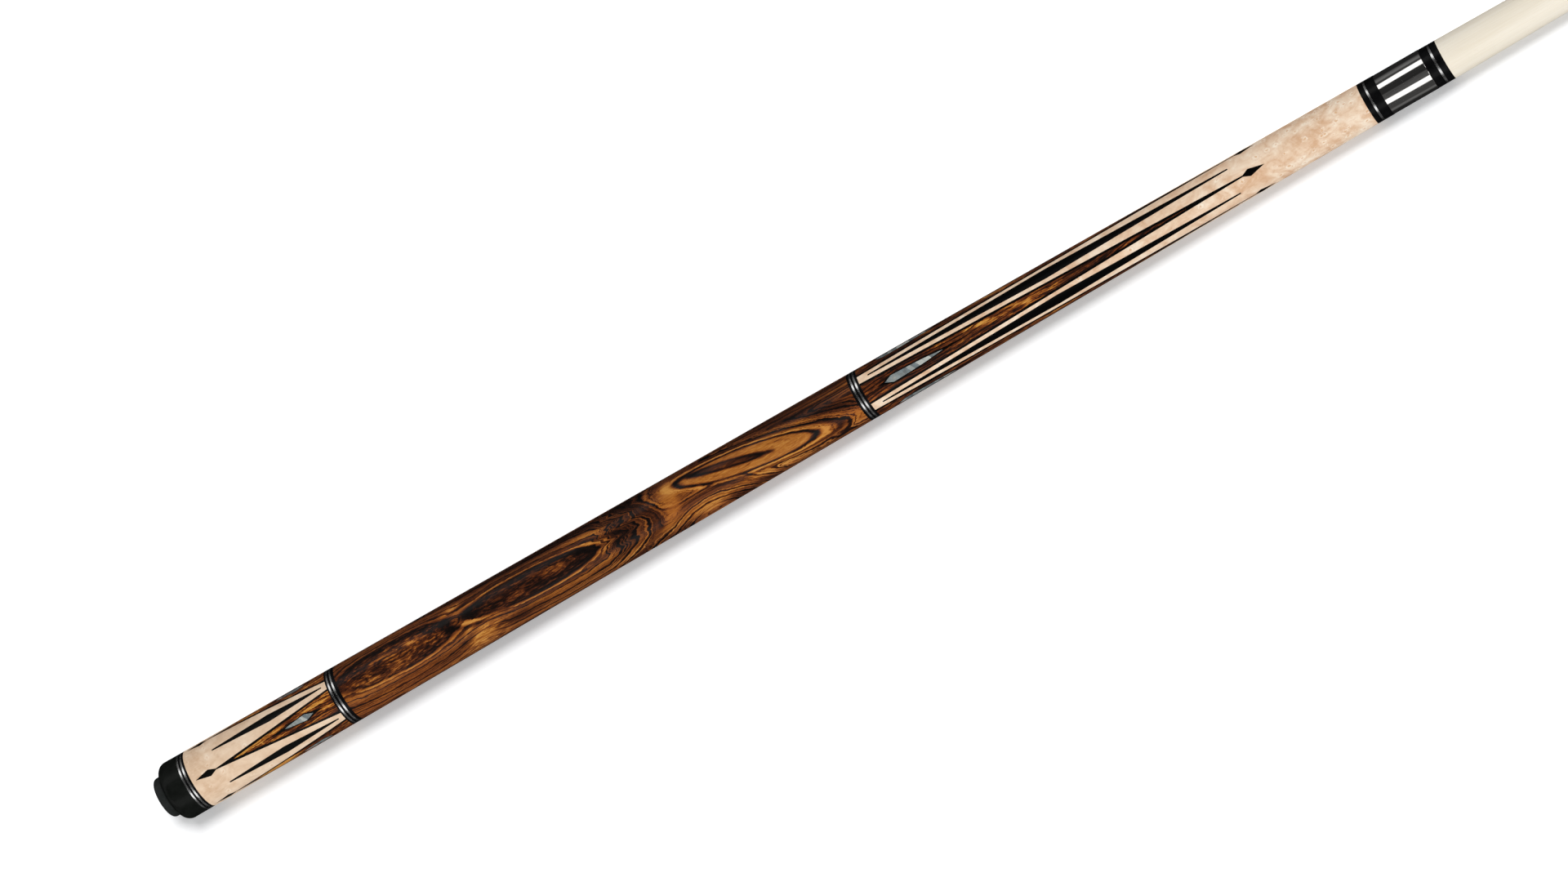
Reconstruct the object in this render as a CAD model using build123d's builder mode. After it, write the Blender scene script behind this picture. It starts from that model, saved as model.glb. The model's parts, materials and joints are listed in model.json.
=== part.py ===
from build123d import *
import math
import os

# Two-piece pool cue with a wrapless handle, five inlaid points on the forearm
# and five on the butt sleeve. All sizes in millimetres.
# Frame: the cue lies along +X. X = 0 is the end face of the rubber bumper,
# the tip is at +X, and one point of each set faces +Z.
# Names: x_ is a station along the cue, _r a radius.

inch = 25.4

# ---------------------------------------------------------------- outside taper of the butt
x_cap_end = 5.0                    # rear face of the butt cap
x_joint = x_cap_end + 29 * inch    # joint face
x_rear = 21.0
rear_r = 15.9                      # outside radius at x_rear
joint_r = 10.65                    # outside radius at the joint face
taper = (rear_r - joint_r) / (x_joint - x_rear)

# ---------------------------------------------------------------- ring stacks
# Faces of the rings from rear to front; black and silver alternate.
# The first and last faces bound the neighbouring pieces.
cap_faces = [18.0, 19.0, 20.0, 21.0, 22.2]                     # silver first
sleeve_faces = [107.3, 108.2, 109.2, 110.3, 111.3, 113.0]      # black first
handle_faces = [416.1, 417.3, 418.3, 419.3, 420.3, 421.6]      # black first
joint_faces = [707.1, 710.0, 711.1, 716.2]                     # black first
shaft_faces = [x_joint, 746.0, 747.2, 750.7]                   # black first

x_cap_front = cap_faces[0]
sleeve_span = (cap_faces[-1], sleeve_faces[0])
handle_span = (sleeve_faces[-1], handle_faces[0])
forearm_span = (handle_faces[-1], joint_faces[0])
x_handle_front = handle_span[1]
x_collar = joint_faces[-1]
x_shaft_wood = shaft_faces[-1]

# ---------------------------------------------------------------- bumper and cap
bumper_r = 11.05
bumper_fillet = 2.0
stem_r = 6.42
x_stem_end = 19.0
stem_bevel_length = 1.5
stem_bevel_depth = 1.2
cap_fillet = 4.8

# ---------------------------------------------------------------- cores, bolt and stud
handle_core_r = 9.5
x_handle_core = 9.0
forearm_core_r = 7.5

bolt_bore_r = 6.5
x_bolt_bore_end = 96.0
bolt_r = 6.35
x_bolt, x_bolt_end = 40.0, 95.0
bolt_chamfer = 0.8
socket_across_flats = 6.35
socket_depth = 9.0

stud_r = 3.97
x_stud, x_stud_end = 391.0, 447.0
stud_chamfer = 0.6

# ---------------------------------------------------------------- joint
collar_r = 10.74
collar_bevel = 0.35

# joint pin, 3/8-10 flat-crested thread
pitch = inch / 10
pin_major_r = 4.76
pin_minor_r = 3.95
crest_width = 0.80
flank_width = 0.47
x_pin, x_pin_end = 711.0, 767.0
pin_nose_length = 1.7
pin_nose_r = pin_minor_r - 0.6     # radius of the pin's end face
trim_margin = 0.2                  # the trimming profile clears the crests by this
thread_play = 0.10                 # play between pin and insert, at crests and roots
x_thread = x_joint - pitch         # threads start a pitch behind the joint face
pin_turns, insert_turns = 13, 15   # enough to run past the pin and the insert

# ---------------------------------------------------------------- shaft and tip
shaft_tenon_r = 8.2
insert_r = 6.5
x_insert_end = 773.4
# outside of the shaft: (x, radius), with the slopes at its two ends
shaft_taper = [
    (x_shaft_wood, 10.58), (850.0, 9.62), (960.0, 8.42),
    (1060.0, 7.40), (1150.0, 6.78), (1230.0, 6.58),
]
shaft_slopes = ((1, -0.0093), (1, -0.0006))
tip_r = 6.5
x_ferrule = 1446.3
x_ferrule_end = x_ferrule + inch
ferrule_tenon_r = 3.97
x_ferrule_tenon_end = 1462.0
x_pad_end = x_ferrule_end + 1.0
x_tip_side = 1475.4                # front edge of the tip's straight side
x_tip_end = 1478.2

# ---------------------------------------------------------------- inlays
point_count = 5
sector_angle = 360.0 / point_count
pocket_height = 8.0                # tall enough to clear the outside surface

# Outlines are symmetric about the X axis, given as (x, half width).
# "point" is the whole point and "wood" its filling inside the veneer.
# Floors are the heights of the flat pocket floors above the cue's axis.
sleeve_neck = (36.5, 0.30)         # where the point meets its diamond
sleeve_outlines = {
    "point": [sleeve_neck, (sleeve_span[1], 6.97)],
    "wood": [(47.0, 0.0), (sleeve_span[1], 5.97)],
    "diamond": [(24.2, 0.0), (32.6, 1.86), sleeve_neck],
    "needle": [(38.6, 0.40), (72.9, 2.15), (104.7, 0.35)],
    "pearl": [(78.4, 0.0), (80.0, 0.45), (84.5, 0.95), (90.8, 1.66), (95.5, 0.0)],
    "border": [
        (67.0, 0.0), (75.0, 0.62), (80.0, 0.95), (84.5, 1.42),
        (90.9, 2.20), (96.6, 0.72), (102.0, 0.0),
    ],
}
sleeve_floors = {"point": 12.6, "needle": 13.6, "pearl": 14.0}

forearm_neck = (637.9, 0.39)
forearm_outlines = {
    "point": [(forearm_span[0], 5.77), forearm_neck],
    "wood": [(forearm_span[0], 4.72), (606.0, 0.0)],
    "diamond": [forearm_neck, (641.5, 1.96), (650.1, 0.0)],
    "needle": [(427.2, 0.40), (529.0, 2.72), (632.8, 0.40)],
    "pearl": [
        (433.2, 0.0), (437.5, 1.78), (447.0, 1.50),
        (456.0, 1.05), (462.0, 0.50), (466.7, 0.0),
    ],
    "border": [
        (428.5, 0.0), (432.3, 0.55), (437.3, 2.30), (447.2, 2.02),
        (456.3, 1.55), (463.0, 0.98), (470.0, 0.58), (485.0, 0.0),
    ],
}
forearm_floors = {"point": 10.2, "needle": 10.4, "pearl": 11.5}


# ---------------------------------------------------------------- geometry helpers
def outside_r(x):
    """Outside radius of the butt at x."""
    return rear_r - taper * (x - x_rear)


def butt_band(start, end, inner_r=0.0):
    """Half-section of the tapered butt between two stations."""
    return [(start, inner_r), (start, outside_r(start)), (end, outside_r(end)), (end, inner_r)]


def mirrored(half_outline):
    """Corners of the closed outline, symmetric about the X axis."""
    return half_outline + [(x, -width) for x, width in reversed(half_outline) if width > 0]


def sector_planes(floor, start_angle=0.0):
    """Work planes of the five inlays, each at its floor height above the axis."""
    return [
        Plane.XY.rotated((start_angle + k * sector_angle, 0, 0)).offset(floor)
        for k in range(point_count)
    ]


def threaded_rod(minor_r, major_r, crest, turns):
    """Single-start threaded rod along +X from x_thread: its section swept with a twist."""
    half_crest_angle = math.pi * crest / pitch
    flank_angle = 2 * math.pi * flank_width / pitch
    rise = major_r - minor_r
    steps = 8

    def polar(angle, radius):
        return (radius * math.cos(angle), radius * math.sin(angle))

    rising = [
        polar(-half_crest_angle - flank_angle + flank_angle * i / steps, minor_r + rise * i / steps)
        for i in range(steps + 1)
    ]
    falling = [
        polar(half_crest_angle + flank_angle * i / steps, major_r - rise * i / steps)
        for i in range(steps + 1)
    ]
    with BuildSketch(Plane.XY, mode=Mode.PRIVATE) as section:
        with BuildLine():
            Spline(*rising)
            ThreePointArc(rising[-1], polar(0, major_r), falling[0])
            Spline(*falling)
            ThreePointArc(falling[-1], polar(math.pi, minor_r), rising[0])
        make_face()
    rod = Solid.extrude_linear_with_rotation(
        section.sketch.faces()[0], (0, 0, 0), (0, 0, pitch * turns), 360.0 * turns
    )
    return Pos(x_thread, 0, 0) * Rot(0, 90, 0) * rod


# ---------------------------------------------------------------- pieces built by pattern
def save(builder, name):
    builder.part.label = name
    export_step(builder.part, f"parts/{name}.step")


def save_bands(name, spans, inner_r):
    """Tubes that follow the butt's outside taper, one for each (start, end)."""
    with BuildPart() as bands:
        for start, end in spans:
            with BuildSketch(Plane.XZ):
                with BuildLine():
                    Polyline(*butt_band(start, end, inner_r), close=True)
                make_face()
            revolve(axis=Axis.X)
    save(bands, name)


def save_ring_stack(prefix, faces, inner_r, first="black"):
    """Black and silver rings of one stack, one file for each colour."""
    second = "silver" if first == "black" else "black"
    spans = list(zip(faces, faces[1:]))
    save_bands(f"{prefix}_ring_{first}", spans[::2], inner_r)
    save_bands(f"{prefix}_ring_{second}", spans[1::2], inner_r)


def save_rod(name, start, end, radius, bores=()):
    """Cylinder along X with coaxial bores, each (start, end, radius)."""
    with BuildPart() as rod:
        with BuildSketch(Plane.YZ.offset(start)):
            Circle(radius)
        extrude(amount=end - start)
        for bore_start, bore_end, bore_r in bores:
            with BuildSketch(Plane.YZ.offset(bore_start)):
                Circle(bore_r)
            extrude(amount=bore_end - bore_start, mode=Mode.SUBTRACT)
    save(rod, name)


def save_inlaid_body(name, span, core_r, outlines, floors):
    """Tapered tube with the pockets of its inlays."""
    with BuildPart() as body:
        with BuildSketch(Plane.XZ):
            with BuildLine():
                Polyline(*butt_band(*span, core_r), close=True)
            make_face()
        revolve(axis=Axis.X)
        # points and their diamonds
        with BuildSketch(*sector_planes(floors["point"])):
            for part in ("point", "diamond"):
                with BuildLine():
                    Polyline(*mirrored(outlines[part]), close=True)
                make_face()
        extrude(amount=pocket_height, mode=Mode.SUBTRACT)
        # needles, half a sector round
        with BuildSketch(*sector_planes(floors["needle"], sector_angle / 2)):
            with BuildLine():
                Polyline(*mirrored(outlines["needle"]), close=True)
            make_face()
        extrude(amount=pocket_height, mode=Mode.SUBTRACT)
    save(body, name)


def save_inlay(name, span, planes, outline, hole=None, pocket=None):
    """Five inlays trimmed to the outside taper.

    hole is an outline left open right through the inlay;
    pocket is (planes, outline) of a recess cut from the outside.
    """
    with BuildPart() as inlay:
        with BuildSketch(*planes):
            with BuildLine():
                Polyline(*mirrored(outline), close=True)
            make_face()
            if hole:
                with BuildLine():
                    Polyline(*mirrored(hole), close=True)
                make_face(mode=Mode.SUBTRACT)
        extrude(amount=pocket_height)
        with BuildSketch(Plane.XZ):
            with BuildLine():
                Polyline(*butt_band(*span), close=True)
            make_face()
        revolve(axis=Axis.X, mode=Mode.INTERSECT)
        if pocket:
            pocket_planes, pocket_outline = pocket
            with BuildSketch(*pocket_planes):
                with BuildLine():
                    Polyline(*mirrored(pocket_outline), close=True)
                make_face()
            extrude(amount=pocket_height, mode=Mode.SUBTRACT)
    save(inlay, name)


def save_inlays(prefix, span, outlines, floors):
    """All inlays of the sleeve or of the forearm."""
    point_planes = sector_planes(floors["point"])
    needle_planes = sector_planes(floors["needle"], sector_angle / 2)
    pearl_planes = sector_planes(floors["pearl"])
    point, wood = outlines["point"], outlines["wood"]
    pearl, border = outlines["pearl"], outlines["border"]

    save_inlay(f"{prefix}_points", span, point_planes, wood, pocket=(pearl_planes, border))
    save_inlay(f"{prefix}_point_veneers", span, point_planes, point, hole=wood)
    save_inlay(f"{prefix}_diamonds", span, point_planes, outlines["diamond"])
    save_inlay(f"{prefix}_needles", span, needle_planes, outlines["needle"])
    save_inlay(f"{prefix}_pearls", span, pearl_planes, pearl)
    save_inlay(f"{prefix}_pearl_borders", span, pearl_planes, border, hole=pearl)


os.makedirs("parts", exist_ok=True)

# ---------------------------------------------------------------- rear end
# rubber bumper: a disc on the cap's end face and a push-in stem in the bore
with BuildPart() as bumper:
    with BuildSketch(Plane.XZ):
        with BuildLine():
            Polyline(
                (0, 0), (0, bumper_r), (x_cap_end, bumper_r), (x_cap_end, stem_r),
                (x_stem_end - stem_bevel_length, stem_r),
                (x_stem_end, stem_r - stem_bevel_depth), (x_stem_end, 0), close=True,
            )
        make_face()
    revolve(axis=Axis.X)
    widest = bumper.edges().filter_by(GeomType.CIRCLE).group_by(SortBy.RADIUS)[-1]
    fillet(widest.sort_by(Axis.X)[0], radius=bumper_fillet)
save(bumper, "bumper")

# butt cap: rounded rear corner, bore for the bumper's stem, socket for the core
with BuildPart() as butt_cap:
    with BuildSketch(Plane.XZ):
        with BuildLine():
            Polyline(
                (x_cap_end, bolt_bore_r), (x_cap_end, outside_r(x_cap_end)),
                (x_cap_front, outside_r(x_cap_front)), (x_cap_front, handle_core_r),
                (x_handle_core, handle_core_r), (x_handle_core, bolt_bore_r), close=True,
            )
        make_face()
    revolve(axis=Axis.X)
    widest = butt_cap.edges().filter_by(GeomType.CIRCLE).group_by(SortBy.RADIUS)[-1]
    fillet(widest.sort_by(Axis.X)[0], radius=cap_fillet)
save(butt_cap, "butt_cap")

save_ring_stack("cap", cap_faces, handle_core_r, first="silver")

# weight bolt: plain cylinder with chamfered ends and a hexagon socket in its rear
with BuildPart() as weight_bolt:
    with BuildSketch(Plane.YZ.offset(x_bolt)):
        Circle(bolt_r)
    extrude(amount=x_bolt_end - x_bolt)
    chamfer(weight_bolt.edges().filter_by(GeomType.CIRCLE), length=bolt_chamfer)
    with BuildSketch(Plane.YZ.offset(x_bolt)):
        RegularPolygon(radius=socket_across_flats / 2, side_count=6, major_radius=False)
    extrude(amount=socket_depth, mode=Mode.SUBTRACT)
save(weight_bolt, "weight_bolt")

# ---------------------------------------------------------------- butt sleeve
save_inlaid_body("butt_sleeve", sleeve_span, handle_core_r, sleeve_outlines, sleeve_floors)
save_inlays("sleeve", sleeve_span, sleeve_outlines, sleeve_floors)
save_ring_stack("sleeve", sleeve_faces, handle_core_r)

# ---------------------------------------------------------------- handle
save_bands("handle", [handle_span], handle_core_r)

# core dowel: bored for the weight bolt at the rear, for the stud at the front
save_rod(
    "handle_core", x_handle_core, x_handle_front, handle_core_r,
    bores=[
        (x_handle_core, x_bolt_bore_end, bolt_bore_r),
        (x_stud, x_handle_front, stud_r),
    ],
)

# stud between the handle core and the forearm core
with BuildPart() as stud:
    with BuildSketch(Plane.YZ.offset(x_stud)):
        Circle(stud_r)
    extrude(amount=x_stud_end - x_stud)
    chamfer(stud.edges().filter_by(GeomType.CIRCLE), length=stud_chamfer)
save(stud, "a_joint_stud")

save_ring_stack("a", handle_faces, forearm_core_r)

# ---------------------------------------------------------------- forearm
save_inlaid_body("forearm", forearm_span, forearm_core_r, forearm_outlines, forearm_floors)
save_inlays("forearm", forearm_span, forearm_outlines, forearm_floors)

# core of the forearm: runs on as a tenon through the rings and the collar
save_rod(
    "forearm_core", x_handle_front, x_joint, forearm_core_r,
    bores=[
        (x_handle_front, x_stud_end, stud_r),
        (x_pin, x_joint, pin_major_r),
    ],
)

# ---------------------------------------------------------------- joint, butt side
save_ring_stack("joint", joint_faces, forearm_core_r)

# collar with a bevelled outer edge at the joint face
with BuildPart() as joint_collar:
    with BuildSketch(Plane.YZ.offset(x_collar)):
        Circle(collar_r)
        Circle(forearm_core_r, mode=Mode.SUBTRACT)
    extrude(amount=x_joint - x_collar)
    front_edges = joint_collar.edges().filter_by(GeomType.CIRCLE).group_by(Axis.X)[-1]
    chamfer(front_edges.sort_by(SortBy.RADIUS)[-1], length=collar_bevel)
save(joint_collar, "joint_collar")

# joint pin: plain shank glued in the core, threaded end standing out of the face
pin_rod = threaded_rod(pin_minor_r, pin_major_r, crest_width, pin_turns)
with BuildPart() as joint_pin:
    add(pin_rod)
    # trim to the joint face and to the tapered nose
    with BuildSketch(Plane.XZ):
        with BuildLine():
            Polyline(
                (x_joint, 0), (x_joint, pin_major_r + trim_margin),
                (x_pin_end - pin_nose_length, pin_major_r + trim_margin),
                (x_pin_end, pin_nose_r), (x_pin_end, 0), close=True,
            )
        make_face()
    revolve(axis=Axis.X, mode=Mode.INTERSECT)
    with BuildSketch(Plane.YZ.offset(x_pin)):
        Circle(pin_major_r)
    extrude(amount=x_joint - x_pin)
save(joint_pin, "joint_pin")

# ---------------------------------------------------------------- shaft
save_ring_stack("shaft", shaft_faces, shaft_tenon_r)

# threaded insert: a cylinder less a rod that is the pin's thread plus play
groove_rod = threaded_rod(
    pin_minor_r + thread_play, pin_major_r + thread_play,
    crest_width + 2 * thread_play, insert_turns,
)
with BuildPart() as shaft_insert:
    with BuildSketch(Plane.YZ.offset(x_joint)):
        Circle(insert_r)
    extrude(amount=x_insert_end - x_joint)
    add(groove_rod, mode=Mode.SUBTRACT)
save(shaft_insert, "shaft_insert")

# shaft: rear tenon bored for the insert, front tenon for the ferrule
with BuildPart() as shaft:
    with BuildSketch(Plane.XZ):
        with BuildLine():
            Line((x_joint, insert_r), (x_joint, shaft_tenon_r))
            Line((x_joint, shaft_tenon_r), (x_shaft_wood, shaft_tenon_r))
            Line((x_shaft_wood, shaft_tenon_r), shaft_taper[0])
            Spline(*shaft_taper, tangents=shaft_slopes)
            Line(shaft_taper[-1], (x_ferrule, tip_r))
            Polyline(
                (x_ferrule, tip_r), (x_ferrule, ferrule_tenon_r),
                (x_ferrule_tenon_end, ferrule_tenon_r), (x_ferrule_tenon_end, 0),
                (x_insert_end, 0), (x_insert_end, insert_r), (x_joint, insert_r),
            )
        make_face()
    revolve(axis=Axis.X)
save(shaft, "shaft")

save_rod(
    "ferrule", x_ferrule, x_ferrule_end, tip_r,
    bores=[(x_ferrule, x_ferrule_tenon_end, ferrule_tenon_r)],
)
save_rod("tip_pad", x_ferrule_end, x_pad_end, tip_r)

# leather tip with a domed front
dome_height = x_tip_end - x_tip_side
dome_r = (tip_r**2 + dome_height**2) / (2 * dome_height)
dome_mid_angle = math.asin(tip_r / 2 / dome_r)
dome_mid = (x_tip_end - dome_r + dome_r * math.cos(dome_mid_angle), tip_r / 2)
with BuildPart() as tip:
    with BuildSketch(Plane.XZ):
        with BuildLine():
            Polyline((x_pad_end, 0), (x_pad_end, tip_r), (x_tip_side, tip_r))
            ThreePointArc((x_tip_side, tip_r), dome_mid, (x_tip_end, 0))
            Line((x_tip_end, 0), (x_pad_end, 0))
        make_face()
    revolve(axis=Axis.X)
save(tip, "tip")
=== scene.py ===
"""Two-piece pool cue, lying along +X: bumper at x = 0, tip at the far end, axis on y = z = 0.

Lengths are millimetres until a mesh is made. Angles round the axis are degrees from +Z towards -Y.
"""

import json
import math

import bpy
import numpy as np
from mathutils import Matrix, Vector
from mathutils.geometry import delaunay_2d_cdt


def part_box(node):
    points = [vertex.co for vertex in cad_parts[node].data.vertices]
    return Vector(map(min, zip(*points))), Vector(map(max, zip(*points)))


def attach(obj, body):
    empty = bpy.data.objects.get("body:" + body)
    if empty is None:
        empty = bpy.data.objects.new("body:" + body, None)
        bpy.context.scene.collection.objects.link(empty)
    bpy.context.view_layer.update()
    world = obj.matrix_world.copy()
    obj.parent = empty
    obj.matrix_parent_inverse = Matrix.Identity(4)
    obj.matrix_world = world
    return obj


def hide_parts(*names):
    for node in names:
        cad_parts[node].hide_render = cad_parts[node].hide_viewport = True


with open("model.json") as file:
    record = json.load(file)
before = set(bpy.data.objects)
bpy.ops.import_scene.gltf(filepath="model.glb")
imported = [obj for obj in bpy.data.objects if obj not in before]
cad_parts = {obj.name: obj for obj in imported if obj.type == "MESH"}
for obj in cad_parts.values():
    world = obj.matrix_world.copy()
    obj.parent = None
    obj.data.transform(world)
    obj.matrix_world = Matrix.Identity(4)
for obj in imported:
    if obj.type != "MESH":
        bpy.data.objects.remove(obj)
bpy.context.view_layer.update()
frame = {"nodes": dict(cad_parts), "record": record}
NODES = frame["nodes"]
BODY = {n: body for body, ns in frame["record"]["behaviour"]["bodies"].items() for n in ns}
MM = 0.001


# ------------------------------------------------------------------ reading the frame
def coords(node_name):
    """Vertices of a frame node in mm."""
    mesh = NODES[node_name].data
    co = np.zeros(len(mesh.vertices) * 3, np.float32)
    mesh.vertices.foreach_get("co", co)
    return co.reshape(-1, 3).astype(float) * 1000.0


def radius_at(node_name, x):
    """Largest radius of a frame node at station x."""
    co = coords(node_name)
    near = co[np.abs(co[:, 0] - x) < 0.02]
    return float(np.hypot(near[:, 1], near[:, 2]).max())


def inner_radius(node_name):
    co = coords(node_name)
    return float(np.hypot(co[:, 1], co[:, 2]).min())


def span(node_name):
    """First and last station of a frame node."""
    return [v.x * 1000.0 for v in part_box(node_name)]


def outer_radius(node_name):
    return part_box(node_name)[1].z * 1000.0


# Ring sets: colour of the first band, then the stations where the alternating bands meet
RING_SETS = {
    "cap_ring": ("silver", [18.0, 19.0, 20.0, 21.0, 22.2]),
    "sleeve_ring": ("black", [107.3, 108.2, 109.2, 110.3, 111.3, 113.0]),
    "a_ring": ("black", [416.1, 417.3, 418.3, 419.3, 420.3, 421.6]),
    "joint_ring": ("black", [707.1, 710.0, 711.1, 716.2]),
    "shaft_ring": ("black", [741.6, 746.0, 747.2, 750.7]),
}
SLEEVE_END = RING_SETS["sleeve_ring"][1][0]
FOREARM_START = RING_SETS["a_ring"][1][-1]
SHAFT_WOOD_START = RING_SETS["shaft_ring"][1][-1]

HANDLE_START, HANDLE_END = span("handle")
START_RADIUS = radius_at("handle", HANDLE_START)
TAPER = (radius_at("handle", HANDLE_END) - START_RADIUS) / (HANDLE_END - HANDLE_START)
TIP_START, TIP_END = span("tip")
TIP_SIDE = TIP_START + 2.7  # end of the tip's straight side


def butt_radius(x):
    """Outside radius of the butt's taper."""
    return START_RADIUS + TAPER * (np.asarray(x, float) - HANDLE_START)


# ------------------------------------------------------------------ mesh makers
def finish_piece(ob, node_name, mat):
    ob.data.materials.clear()
    ob.data.materials.append(mat)
    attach(ob, BODY[node_name])
    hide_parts(node_name)


def new_object(name, verts, faces):
    mesh = bpy.data.meshes.new(name)
    mesh.from_pydata([tuple(v) for v in np.asarray(verts, float) * MM], [], faces)
    mesh.validate()
    mesh.update()
    ob = bpy.data.objects.new(name, mesh)
    bpy.context.scene.collection.objects.link(ob)
    return ob


def lathe_data(profile, segments, start=0):
    """Turned solid about X from a closed profile of (x, r). A point on the axis becomes one pole."""
    verts, rows = [], []
    for x, r in profile:
        if r < 1e-6:
            rows.append([start + len(verts)])
            verts.append((x, 0.0, 0.0))
        else:
            turn = np.arange(segments) * 2 * math.pi / segments
            rows.append(list(range(start + len(verts), start + len(verts) + segments)))
            verts.extend(zip([x] * segments, r * np.sin(turn), r * np.cos(turn)))
    faces = []
    for i, row in enumerate(rows):
        after = rows[(i + 1) % len(rows)]
        if len(row) == 1 and len(after) == 1:
            continue
        for j in range(segments):
            k = (j + 1) % segments
            if len(row) == 1:
                faces.append((row[0], after[j], after[k]))
            elif len(after) == 1:
                faces.append((row[k], row[j], after[0]))
            else:
                faces.append((row[j], after[j], after[k], row[k]))
    return verts, faces


def smooth_object(name, verts, faces, sharp_angle=30):
    ob = new_object(name, verts, faces)
    ob.data.polygons.foreach_set("use_smooth", [True] * len(ob.data.polygons))
    ob.data.set_sharp_from_angle(angle=math.radians(sharp_angle))
    return ob


def lathe(name, profiles, segments=160, sharp_angle=30):
    verts, faces = [], []
    for profile in profiles:
        more_verts, more_faces = lathe_data(profile, segments, start=len(verts))
        verts += more_verts
        faces += more_faces
    return smooth_object(name, verts, faces, sharp_angle)


def arc(x, r, radius, start, end, steps):
    """Profile points of an arc about (x, r), from angle start to angle end."""
    turns = [math.radians(start + (end - start) * i / steps) for i in range(steps + 1)]
    return [(x + radius * math.cos(t), r + radius * math.sin(t)) for t in turns]


def eased_band(x0, r0, x1, r1, bore, edge, steps=3):
    """Profile of a turned band whose outer edges are rounded with radius edge."""
    turns = [math.pi / 2 * i / steps for i in range(steps + 1)]
    out = [(x0, bore)]
    out += [(x0 + edge * (1 - math.cos(t)), r0 - edge * (1 - math.sin(t))) for t in turns]
    out += [(x1 - edge * (1 - math.sin(t)), r1 - edge * (1 - math.cos(t))) for t in turns]
    return out + [(x1, bore)]


def set_attr(ob, name, values):
    layer = ob.data.attributes.new(name, "FLOAT", "POINT")
    layer.data.foreach_set("value", np.asarray(values, np.float32))


# ------------------------------------------------------------------ shader shorthand
tree = None  # the node tree that the helpers below add to
LIGHT_LEVEL = 1.14  # brightness of the light on top of the cue


def lin(rgb):
    """Linear colour of an sRGB colour in 0-255."""
    out = []
    for v in rgb:
        v = v / 255.0
        out.append(v / 12.92 if v <= 0.04045 else ((v + 0.055) / 1.055) ** 2.4)
    return (*out, 1.0)


def seen(rgb):
    """Base colour that looks like sRGB rgb on top of the cue under this scene's light."""
    return (*[v / LIGHT_LEVEL for v in lin(rgb)[:3]], 1.0)


def times(rgb, factor, lift=0):
    return tuple(min(255, c * factor + lift) for c in rgb)


def node(kind, **props):
    made = tree.nodes.new(kind)
    for key, value in props.items():
        setattr(made, key, value)
    return made


def put(socket, value):
    if isinstance(value, bpy.types.NodeSocket):
        tree.links.new(value, socket)
    else:
        socket.default_value = value


def calc(operation, a, b, clamp=False):
    made = node("ShaderNodeMath", operation=operation, use_clamp=clamp)
    put(made.inputs[0], a)
    put(made.inputs[1], b)
    return made.outputs[0]


def add(a, b):
    return calc("ADD", a, b)


def sub(a, b):
    return calc("SUBTRACT", a, b)


def mul(a, b):
    return calc("MULTIPLY", a, b)


def vector_math(operation, a, b):
    made = node("ShaderNodeVectorMath", operation=operation)
    put(made.inputs[0], a)
    put(made.inputs[1], b)
    return made.outputs[0]


def remap(value, span_in, span_out=(0.0, 1.0), smooth=False):
    """Clamped map of span_in onto span_out."""
    kind = "SMOOTHSTEP" if smooth else "LINEAR"
    made = node("ShaderNodeMapRange", interpolation_type=kind, clamp=True)
    for i, v in enumerate((value, *span_in, *span_out)):
        put(made.inputs[i], v)
    return made.outputs[0]


def noise(vector, scale, detail, rough, distortion=0.0, output=0):
    made = node("ShaderNodeTexNoise", noise_dimensions="3D")
    put(made.inputs["Vector"], vector)
    put(made.inputs["Scale"], scale)
    put(made.inputs["Detail"], detail)
    put(made.inputs["Roughness"], rough)
    put(made.inputs["Distortion"], distortion)
    return made.outputs[output]


def noise_1d(value, scale, detail, rough):
    made = node("ShaderNodeTexNoise", noise_dimensions="1D")
    put(made.inputs["W"], value)
    put(made.inputs["Scale"], scale)
    put(made.inputs["Detail"], detail)
    put(made.inputs["Roughness"], rough)
    return made.outputs[0]


def stretched_noise(pos, along, across, detail, rough, distortion=0.0):
    """Noise with its own scale along X and across it."""
    stretched = vector_math("MULTIPLY", pos, (along, across, across))
    return noise(stretched, 1.0, detail, rough, distortion)


def ramp(value, stops):
    made = node("ShaderNodeValToRGB")
    elements = made.color_ramp.elements
    while len(elements) > 1:
        elements.remove(elements[-1])
    for i, (place, color) in enumerate(stops):
        element = elements[0] if i == 0 else elements.new(place)
        element.position = place
        element.color = color
    put(made.inputs[0], value)
    return made.outputs[0]


def mix(factor, a, b, blend="MIX"):
    made = node("ShaderNodeMix", data_type="RGBA", blend_type=blend, clamp_factor=True)
    put(made.inputs[0], factor)
    put(made.inputs[6], a)
    put(made.inputs[7], b)
    return made.outputs[2]


def attr(name):
    made = node("ShaderNodeAttribute", attribute_type="GEOMETRY", attribute_name=name)
    return made.outputs["Fac"]


def position():
    """Object position in millimetres."""
    where = node("ShaderNodeTexCoord").outputs["Object"]
    return vector_math("MULTIPLY", where, (1000.0, 1000.0, 1000.0))


def split(vector):
    made = node("ShaderNodeSeparateXYZ")
    put(made.inputs[0], vector)
    return made.outputs


def join(x, y, z):
    made = node("ShaderNodeCombineXYZ")
    for i, v in enumerate((x, y, z)):
        put(made.inputs[i], v)
    return made.outputs[0]


def bump(height, depth, strength):
    """Normal from a height field; depth is in mm."""
    made = node("ShaderNodeBump")
    put(made.inputs["Strength"], strength)
    put(made.inputs["Distance"], depth * MM)
    put(made.inputs["Height"], height)
    return made.outputs[0]


def material(name):
    """New material, whose tree the helpers then add to, and its Principled shader."""
    global tree
    mat = bpy.data.materials.new(name)
    mat.use_nodes = True
    tree = mat.node_tree
    return mat, next(n for n in tree.nodes if n.type == "BSDF_PRINCIPLED")


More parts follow.
